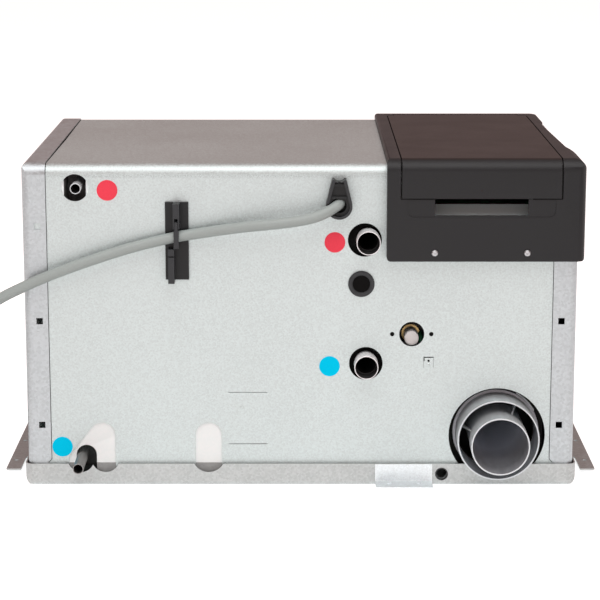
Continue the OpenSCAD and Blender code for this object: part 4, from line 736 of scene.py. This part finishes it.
class HEATER_OT_stage(bpy.types.Operator):
    """Camera, lamps, floor and room"""

    bl_idname = "heater.stage"
    bl_label = "Stage"

    def execute(self, context):
        scene = context.scene
        scene.view_settings.view_transform = "Standard"
        lens = bpy.data.cameras.new("Camera")
        lens.lens = CAMERA_LENS
        lens.sensor_width = SENSOR
        lens.clip_start, lens.clip_end = CAMERA_CLIP
        camera = link(bpy.data.objects.new("Camera", lens))
        camera.location = CAMERA_AT
        camera.rotation_euler = (math.radians(90 - CAMERA_PITCH), 0.0, 0.0)
        scene.camera = camera
        for name, (at, size, power) in LAMPS.items():
            self.lamp(name, at, size, power)
        self.floor()
        self.room()
        return {"FINISHED"}

    @staticmethod
    def lamp(name, at, size, power):
        light = bpy.data.lights.new(name, "AREA")
        light.shape = "ELLIPSE"
        light.size, light.size_y = size
        light.energy = power
        lamp = link(bpy.data.objects.new(name, light))
        lamp.location = at
        aim = Vector(LAMP_AIM) - Vector(at)
        lamp.rotation_mode = "QUATERNION"
        lamp.rotation_quaternion = aim.to_track_quat("-Z", "Y")

    @staticmethod
    def floor():
        """Pale floor whose glow shows in the picture and in reflections but lights nothing else."""
        half = FLOOR_HALF
        mesh = bpy.data.meshes.new("Floor")
        corners = [(-half, -half, 0.0), (half, -half, 0.0), (half, half, 0.0), (-half, half, 0.0)]
        mesh.from_pydata(corners, [], [(0, 1, 2, 3)])
        floor = link(bpy.data.objects.new("Floor", mesh))
        floor.location.z = -FLOOR_DROP
        made = Finish("Floor")
        made.shader.inputs["Base Color"].default_value = (*colours().floor, 1.0)
        made.shader.inputs["Roughness"].default_value = 0.9
        made.shader.inputs["Specular IOR Level"].default_value = 0.1
        made.shader.inputs["Emission Color"].default_value = (1.0, 1.0, 1.0, 1.0)
        rays = made.add("ShaderNodeLightPath")
        seen = made.math("ADD", rays.outputs["Is Camera Ray"], rays.outputs["Is Glossy Ray"])
        seen = made.math("ADD", seen, rays.outputs["Is Transmission Ray"])
        seen = made.math("MINIMUM", seen, 1.0)
        made.join(made.math("MULTIPLY", seen, FLOOR_GLOW), made.shader.inputs["Emission Strength"])
        mesh.materials.append(made.material)

    @staticmethod
    def room():
        world = bpy.data.worlds.new("Room")
        world.use_nodes = True
        back = world.node_tree.nodes["Background"]
        back.inputs["Color"].default_value = (*colours().world, 1.0)
        back.inputs["Strength"].default_value = 1.0
        bpy.context.scene.world = world


class HEATER_OT_cable(bpy.types.Operator):
    """Mains cable, its coil on the floor, the tie and the bare cores"""

    bl_idname = "heater.cable"
    bl_label = "Mains cable"

    @staticmethod
    def route():
        """Points of the cable in metres: the lead, the coil in and out again, and a short tail."""
        points = [Vector(p) for p in LEAD]
        middle = 180 * COIL_TURNS
        for a in range(0, 360 * COIL_TURNS + 1, COIL_STEP):
            turn = a if a < middle else 2 * middle - a
            r = COIL_OUTER - COIL_PITCH * turn / 360
            climb = min(1.0, max(0.0, (a - middle + 90) / 180))
            points.append(Vector((
                COIL_CENTRE[0] + r * math.cos(math.radians(a)),
                COIL_CENTRE[1] + r * math.sin(math.radians(a)),
                LAY_Z + COIL_RISE * climb,
            )))
        points.append(points[-1] + Vector((0.0, COIL_TAIL, 0.0)))
        return [p * MM for p in points]

    def execute(self, context):
        points = self.route()
        sheath = thread("cable", sizes().cable / 2)
        drawn(sheath, points)
        cable = piece(
            link(bpy.data.objects.new("cable", sheath)), "casing", "cable_sheath", "cable_lead", "cable_coil"
        )
        cores = thread("cable_cores_bared", CORE_R * MM)
        for index, angle in enumerate(CORE_ANGLES):
            at = points[-1] + spoke(angle) * CORE_OFFSET * MM
            drawn(cores, [at + Vector((0.0, y * MM, 0.0)) for y in CORE_COVERED_Y], index)
            strand = drawn(cores, [at + Vector((0.0, y * MM, 0.0)) for y in CORE_BARE_Y], len(CORE_ANGLES))
            for knot in strand.bezier_points:
                knot.radius = STRAND_SHARE
        bared = link(bpy.data.objects.new("cable_cores_bared", cores))
        for slot in ("brown_core", "blue_core", "green_core", "stainless"):
            cores.materials.append(finish(slot))
        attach(bared, "casing")
        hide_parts("cable_cores")
        tie = softened("coil_band", "coil_tie", "casing", "black_plastic", sizes().small_edge)
        return {"FINISHED"}


class HEATER_OT_casing(bpy.types.Operator):
    """Feet, insulation, painted shadow lines along the end caps, panel marks and the finish of every CAD node
    that stays in view
    """

    bl_idname = "heater.casing"
    bl_label = "Casing and feet"

    def execute(self, context):
        for slot, nodes in NODE_FINISH.items():
            for node in nodes:
                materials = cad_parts[node].data.materials
                materials.clear()
                materials.append(finish(slot))
        edge = sizes().sheet_edge
        softened("foot_left", "left_foot", "casing", "tray_sheet", edge)
        softened("foot_right", "right_foot", "casing", "tray_sheet", edge)
        softened("foot_front", "front_foot", "casing", "foot_sheet", edge * FRONT_FOOT_EDGE)
        # Painted shadow lines in the gaps along the end caps
        piece(self.seam_shadows(), "casing", "gap_shade")
        piece(self.lip_hem(), "casing", "tray_sheet")
        self.foam()
        shades = turned("inlet_hole_shade", PANEL_Y, [(at, HOLE_SHADE) for at in INLET_HOLES_AT], steps=24)
        piece(shades, "casing", "gap_shade")
        marks = turned("panel_marks", PANEL_Y, [(DIMPLE_AT, DIMPLE), (BUMP_AT, BUMP)], steps=32)
        piece(marks, "casing", "zinc_sheet")
        return {"FINISHED"}

    @staticmethod
    def foam():
        """Both insulation halves, with painted shade in the pocket around the hot pipe and on the foam's
        front behind the tray lip.
        """
        upper = softened("foam_upper", "insulation_upper", "casing", "white_foam", sizes().sheet_edge)
        at = Vector((HOT_AT[0], 0.0, HOT_AT[1])) * MM

        # Painted shade: the foam's faces in the pocket around the hot pipe, behind the panel
        def in_hot_well_shade(face):
            away = face.center - at
            near = max(abs(away.x), abs(away.z)) < HOT_WELL * MM
            return near and face.center.y > (PANEL_Y + WELL_BEHIND) * MM

        refinish(upper, "foam_well_shade", in_hot_well_shade)
        lower = softened("foam_lower", "insulation_lower", "casing", "white_foam", sizes().sheet_edge)
        shape = bmesh.new()
        shape.from_mesh(lower.data)
        whole = shape.verts[:] + shape.edges[:] + shape.faces[:]
        bmesh.ops.bisect_plane(shape, geom=whole, plane_co=(0.0, 0.0, LIP_Z * MM), plane_no=(0.0, 0.0, 1.0))
        shape.to_mesh(lower.data)
        shape.free()
        # Painted shade: the foam's front below the top of the tray lip goes grey
        refinish(lower, "foam_foot_shade", lambda face: face.center.z < LIP_Z * MM and looks_forward(face))

    @staticmethod
    def lip_hem():
        """Folded top of the tray's front lip, between the notches for the pipes and the flue."""
        shape = bmesh.new()
        for x0, x1 in LIP_HEM_X:
            low = Vector((x0, LIP_Y + HEM_BEHIND, LIP_Z - HEM_BELOW))
            high = Vector((x1, PANEL_Y - HEM_CLEAR, LIP_Z - HEM_CLEAR))
            for vert in bmesh.ops.create_cube(shape)["verts"]:
                vert.co = Vector(b if c > 0 else a for a, b, c in zip(low, high, vert.co)) * MM
        hem = solid("lip_hem", shape)
        fold = hem.modifiers.new("Fold", "BEVEL")
        fold.width = sizes().sheet_edge
        fold.segments = sizes().edge_steps
        return hem

    @staticmethod
    def seam_shadows():
        """Painted shadow line in the gap along the free edge of each end cap's flange, up the front and over
        the top.
        """
        bend_z = CASING_H - BEND_R
        line = [
            (PANEL_Y, LIP_Z, SEAM_FRONT, CAP_CHAMFER), (PANEL_Y, LIP_Z + CAP_CHAMFER, SEAM_FRONT, 0.0),
            (PANEL_Y, bend_z, SEAM_FRONT, 0.0),
        ]
        for angle in range(SEAM_STEP, 91, SEAM_STEP):
            turn = math.radians(angle)
            y = PANEL_Y + BEND_R - BEND_R * math.cos(turn)
            line.append((y, bend_z + BEND_R * math.sin(turn), SEAM_BEND, 0.0))
        line += [(0.0, CASING_H, SEAM_TOP, 0.0), (-PANEL_Y - BEND_R, CASING_H, SEAM_BEND, 0.0)]
        shape = bmesh.new()
        for side in (-1, 1):
            rail = []
            for y, z, width, outward in line:
                forward = -SEAM_PROUD if z < CASING_H else 0.0
                upward = SEAM_PROUD if z > bend_z else 0.0
                off = Vector((0.0, forward, upward))
                pair = []
                for inward in (-SEAM_OVER, width):
                    at = Vector((side * (FLANGE_X + outward - inward), y, z)) + off
                    pair.append(shape.verts.new(at * MM))
                rail.append(pair)
            for a, b in zip(rail, rail[1:]):
                shape.faces.new((a[0], a[1], b[1], b[0]))
        bmesh.ops.recalc_face_normals(shape, faces=shape.faces)
        return solid("cap_seam_shadows", shape)


class HEATER_OT_cover(bpy.types.Operator):
    """Control housing, hinged lid and the two apron screws"""

    bl_idname = "heater.cover"
    bl_label = "Control housing"

    def execute(self, context):
        cover = softened("cover_frame", "control_housing", "casing", "black_plastic", sizes().moulded_edge)
        lid = softened("lid", "cover_lid", "lid", "lid_top_reflection", sizes().moulded_edge)
        # Painted reflection: the lid's top keeps its brown tint of the warm room, and faces looking forward
        # take the black plastic
        refinish(lid, "black_plastic", lambda face: face.normal.y < -LID_FACING)
        across = [vert.co.x for vert in lid.data.vertices]
        low = min(vert.co.z for vert in lid.data.vertices)

        def beside_joint_shade(face):
            near = min(abs(face.center.x - side) for side in (min(across), max(across)))
            return abs(face.normal.x) > FACING and near < LID_JOINT * MM

        def under_lid_shade(face):
            return face.normal.z < -FACING and face.center.z < low + LID_JOINT * MM

        # Painted shade in the joint: the lid's sides and lower edge, and the housing's faces beside them, go
        # near black
        refinish(lid, "gap_shade", beside_joint_shade)
        refinish(lid, "gap_shade", under_lid_shade)
        refinish(cover, "gap_shade", beside_joint_shade)
        piece(self.lid_joint_shade(lid.data), "casing", "gap_shade")
        heads = [(at, SCREW_HEAD) for at in SCREWS_AT]
        screws = turned("apron_screws", APRON_Y, heads, lobes=SOCKET_DEPTH, steps=48)
        piece(screws, "casing", "screw_steel", "cover_screws")
        gate = turned("lid_gate_mark", APRON_Y, [(GATE_AT, GATE_MARK)], steps=24)
        piece(gate, "lid", "lid_top_reflection")
        return {"FINISHED"}

    @staticmethod
    def lid_joint_shade(lid):
        """Painted shade line in the joint beside the lid's front and along its lower edge, on both sides of
        the finger slot.
        """
        front = [face for face in lid.polygons if looks_forward(face)]
        corners = [lid.vertices[index].co / MM for face in front for index in face.vertices]
        left = min(at.x for at in corners)
        right = max(at.x for at in corners)
        low = min(at.z for at in corners)
        high = max(at.z for at in corners)
        out = JOINT_OUT
        over = JOINT_OVER
        y = APRON_Y - JOINT_PROUD
        shape = bmesh.new()
        for x0, x1, z0, z1 in (
            (left - out, left + over, low - out, high), (right - over, right + out, low - out, high),
            (left + over, SLOT_X[0], low - out, low + over), (SLOT_X[1], right - over, low - out, low + over),
        ):
            ring = ((x0, z0), (x1, z0), (x1, z1), (x0, z1))
            shape.faces.new([shape.verts.new(Vector((x, y, z)) * MM) for x, z in ring])
        return solid("lid_joint_shade", shape)


class HEATER_OT_fittings(bpy.types.Operator):
    """Cable gland, cable clip and the two grommets"""

    bl_idname = "heater.fittings"
    bl_label = "Gland, clip and grommets"

    def execute(self, context):
        edge = sizes().small_edge
        gland = softened("gland", "cable_gland", "casing", "fitting_plastic", edge)
        # Painted highlight: the gland's front rims take the paler tone, and the pocket and sides stay dark
        refinish(gland, "rubber", forward_past(GLAND_RIM_Y))
        # Dark disc of painted shade at the floor of the gland's eye
        piece(turned("gland_eye_shade", GLAND_EYE_Y, [(GLAND_AT, GLAND_EYE)]), "casing", "gap_shade")
        plate = softened("clip_plate", "clip_base", "casing", "fitting_plastic", edge)
        # Painted highlight: the clip's ridge and the strap's front faces take the paler tone
        refinish(plate, "rubber", forward_past(CLIP_RIDGE_Y))
        band = softened("clip_band", "clip_strap", "clip", "fitting_plastic", edge * STRAP_EDGE)
        refinish(band, "rubber", looks_forward)
        blank = turned("panel_grommet", PANEL_Y, [(GROMMET_AT, BLANK_GROMMET)])
        piece(blank, "casing", "rubber", "blanking_grommet")
        # Dark disc of painted shade in the middle of the grommet
        piece(turned("grommet_well_shade", PANEL_Y, [(GROMMET_AT, GROMMET_WELL)]), "casing", "gap_shade")
        ring = turned("drain_ring", LIP_Y, [(DRAIN_AT, DRAIN_RING)])
        piece(ring, "casing", "rubber", "drain_grommet")
        return {"FINISHED"}


class HEATER_OT_pipes(bpy.types.Operator):
    """Heating and water pipes, air intake and flue"""

    bl_idname = "heater.pipes"
    bl_label = "Pipes and flue"

    def execute(self, context):
        for name, node, slot, inside, at in (
            ("pipe_flow", "flow_pipe", "drawn_steel", "pipe_inside_shade", FLOW_AT),
            ("pipe_return", "return_pipe", "drawn_steel", "pipe_inside_shade", RETURN_AT),
            ("pipe_hot", "hot_water_pipe", "dull_steel", "pipe_inside_shade", HOT_AT),
            ("pipe_cold", "cold_water_pipe", "dark_cold_steel", "pipe_inside_shade", COLD_AT),
            ("intake", "intake_pipe", "dull_steel", "flue_inside_shade_and_light", FLUE_AT),
            ("flue", "flue_pipe", "dull_steel", "flue_inside_shade_and_light", FLUE_AT),
        ):
            self.paint_inside_shade(softened(name, node, "casing", slot, sizes().rim_edge), inside, at)
        piece(self.collar_lap(), "casing", "dull_steel")
        wire = thread("valve_earth_wire", VALVE_WIRE_R * MM)
        drawn(wire, [Vector(at) * MM for at in VALVE_WIRE])
        piece(link(bpy.data.objects.new("valve_earth_wire", wire)), "casing", "board_green")
        return {"FINISHED"}

    @staticmethod
    def paint_inside_shade(pipe, inside, at):
        """Gives what looks towards the pipe's axis, or out of its mouth from deeper in, the inside finish,
        which paints the shade inside the pipe.
        """
        axis = Vector((at[0] * MM, 0.0, at[1] * MM))
        mouth = min(face.center.y for face in pipe.data.polygons)

        def looks_in(face):
            out = face.center - axis
            out.y = 0.0
            deeper = looks_forward(face) and face.center.y > mouth + MOUTH_DEPTH * MM
            return deeper or out.normalized().dot(face.normal) < -BORE_FACING

        refinish(pipe, inside, looks_in)

    @staticmethod
    def collar_lap():
        """Overlapped end of the collar around the air intake, seen in the gap of the panel hole."""
        shape = bmesh.new()
        rings = []
        for angle in range(LAP_FROM, LAP_TO + 1, LAP_STEP):
            front = LAP_FRONT_Y + (angle - LAP_FROM) * LAP_LEAN
            ring = []
            for r, y in (
                (LAP_INNER, front), (LAP_OUTER, front), (LAP_OUTER, LAP_REAR_Y), (LAP_INNER, LAP_REAR_Y)
            ):
                at = Vector((FLUE_AT[0], y, FLUE_AT[1])) + r * spoke(angle)
                ring.append(shape.verts.new(at * MM))
            rings.append(ring)
        bridge(shape, rings)
        shape.faces.new(rings[0])
        shape.faces.new(rings[-1])
        bmesh.ops.recalc_face_normals(shape, faces=shape.faces)
        lap = solid("collar_lap", shape)
        smooth(lap.data)
        return lap


class HEATER_PT_panel(bpy.types.Panel):
    """Steps that dress the water heater"""

    bl_idname = "HEATER_PT_panel"
    bl_label = "Water Heater"
    bl_space_type = "VIEW_3D"
    bl_region_type = "UI"
    bl_category = "Water Heater"

    def draw(self, context):
        layout = self.layout
        for operator in OPERATORS:
            layout.operator(operator.bl_idname)
        for group in (context.scene.heater_sizes, context.scene.heater_colours):
            column = layout.column(align=True)
            for name in group.__annotations__:
                column.prop(group, name)


OPERATORS = (
    HEATER_OT_stage,
    HEATER_OT_cable,
    HEATER_OT_casing,
    HEATER_OT_cover,
    HEATER_OT_fittings,
    HEATER_OT_pipes,
)
CLASSES = (HeaterColours, HeaterSizes, *OPERATORS, HEATER_PT_panel)


def register():
    for cls in CLASSES:
        bpy.utils.register_class(cls)
    bpy.types.Scene.heater_colours = PointerProperty(type=HeaterColours)
    bpy.types.Scene.heater_sizes = PointerProperty(type=HeaterSizes)


def unregister():
    del bpy.types.Scene.heater_sizes
    del bpy.types.Scene.heater_colours
    for cls in reversed(CLASSES):
        bpy.utils.unregister_class(cls)


def main():
    register()
    for operator in OPERATORS:
        area, name = operator.bl_idname.split(".")
        getattr(getattr(bpy.ops, area), name)()


if __name__ == "__main__":
    main()
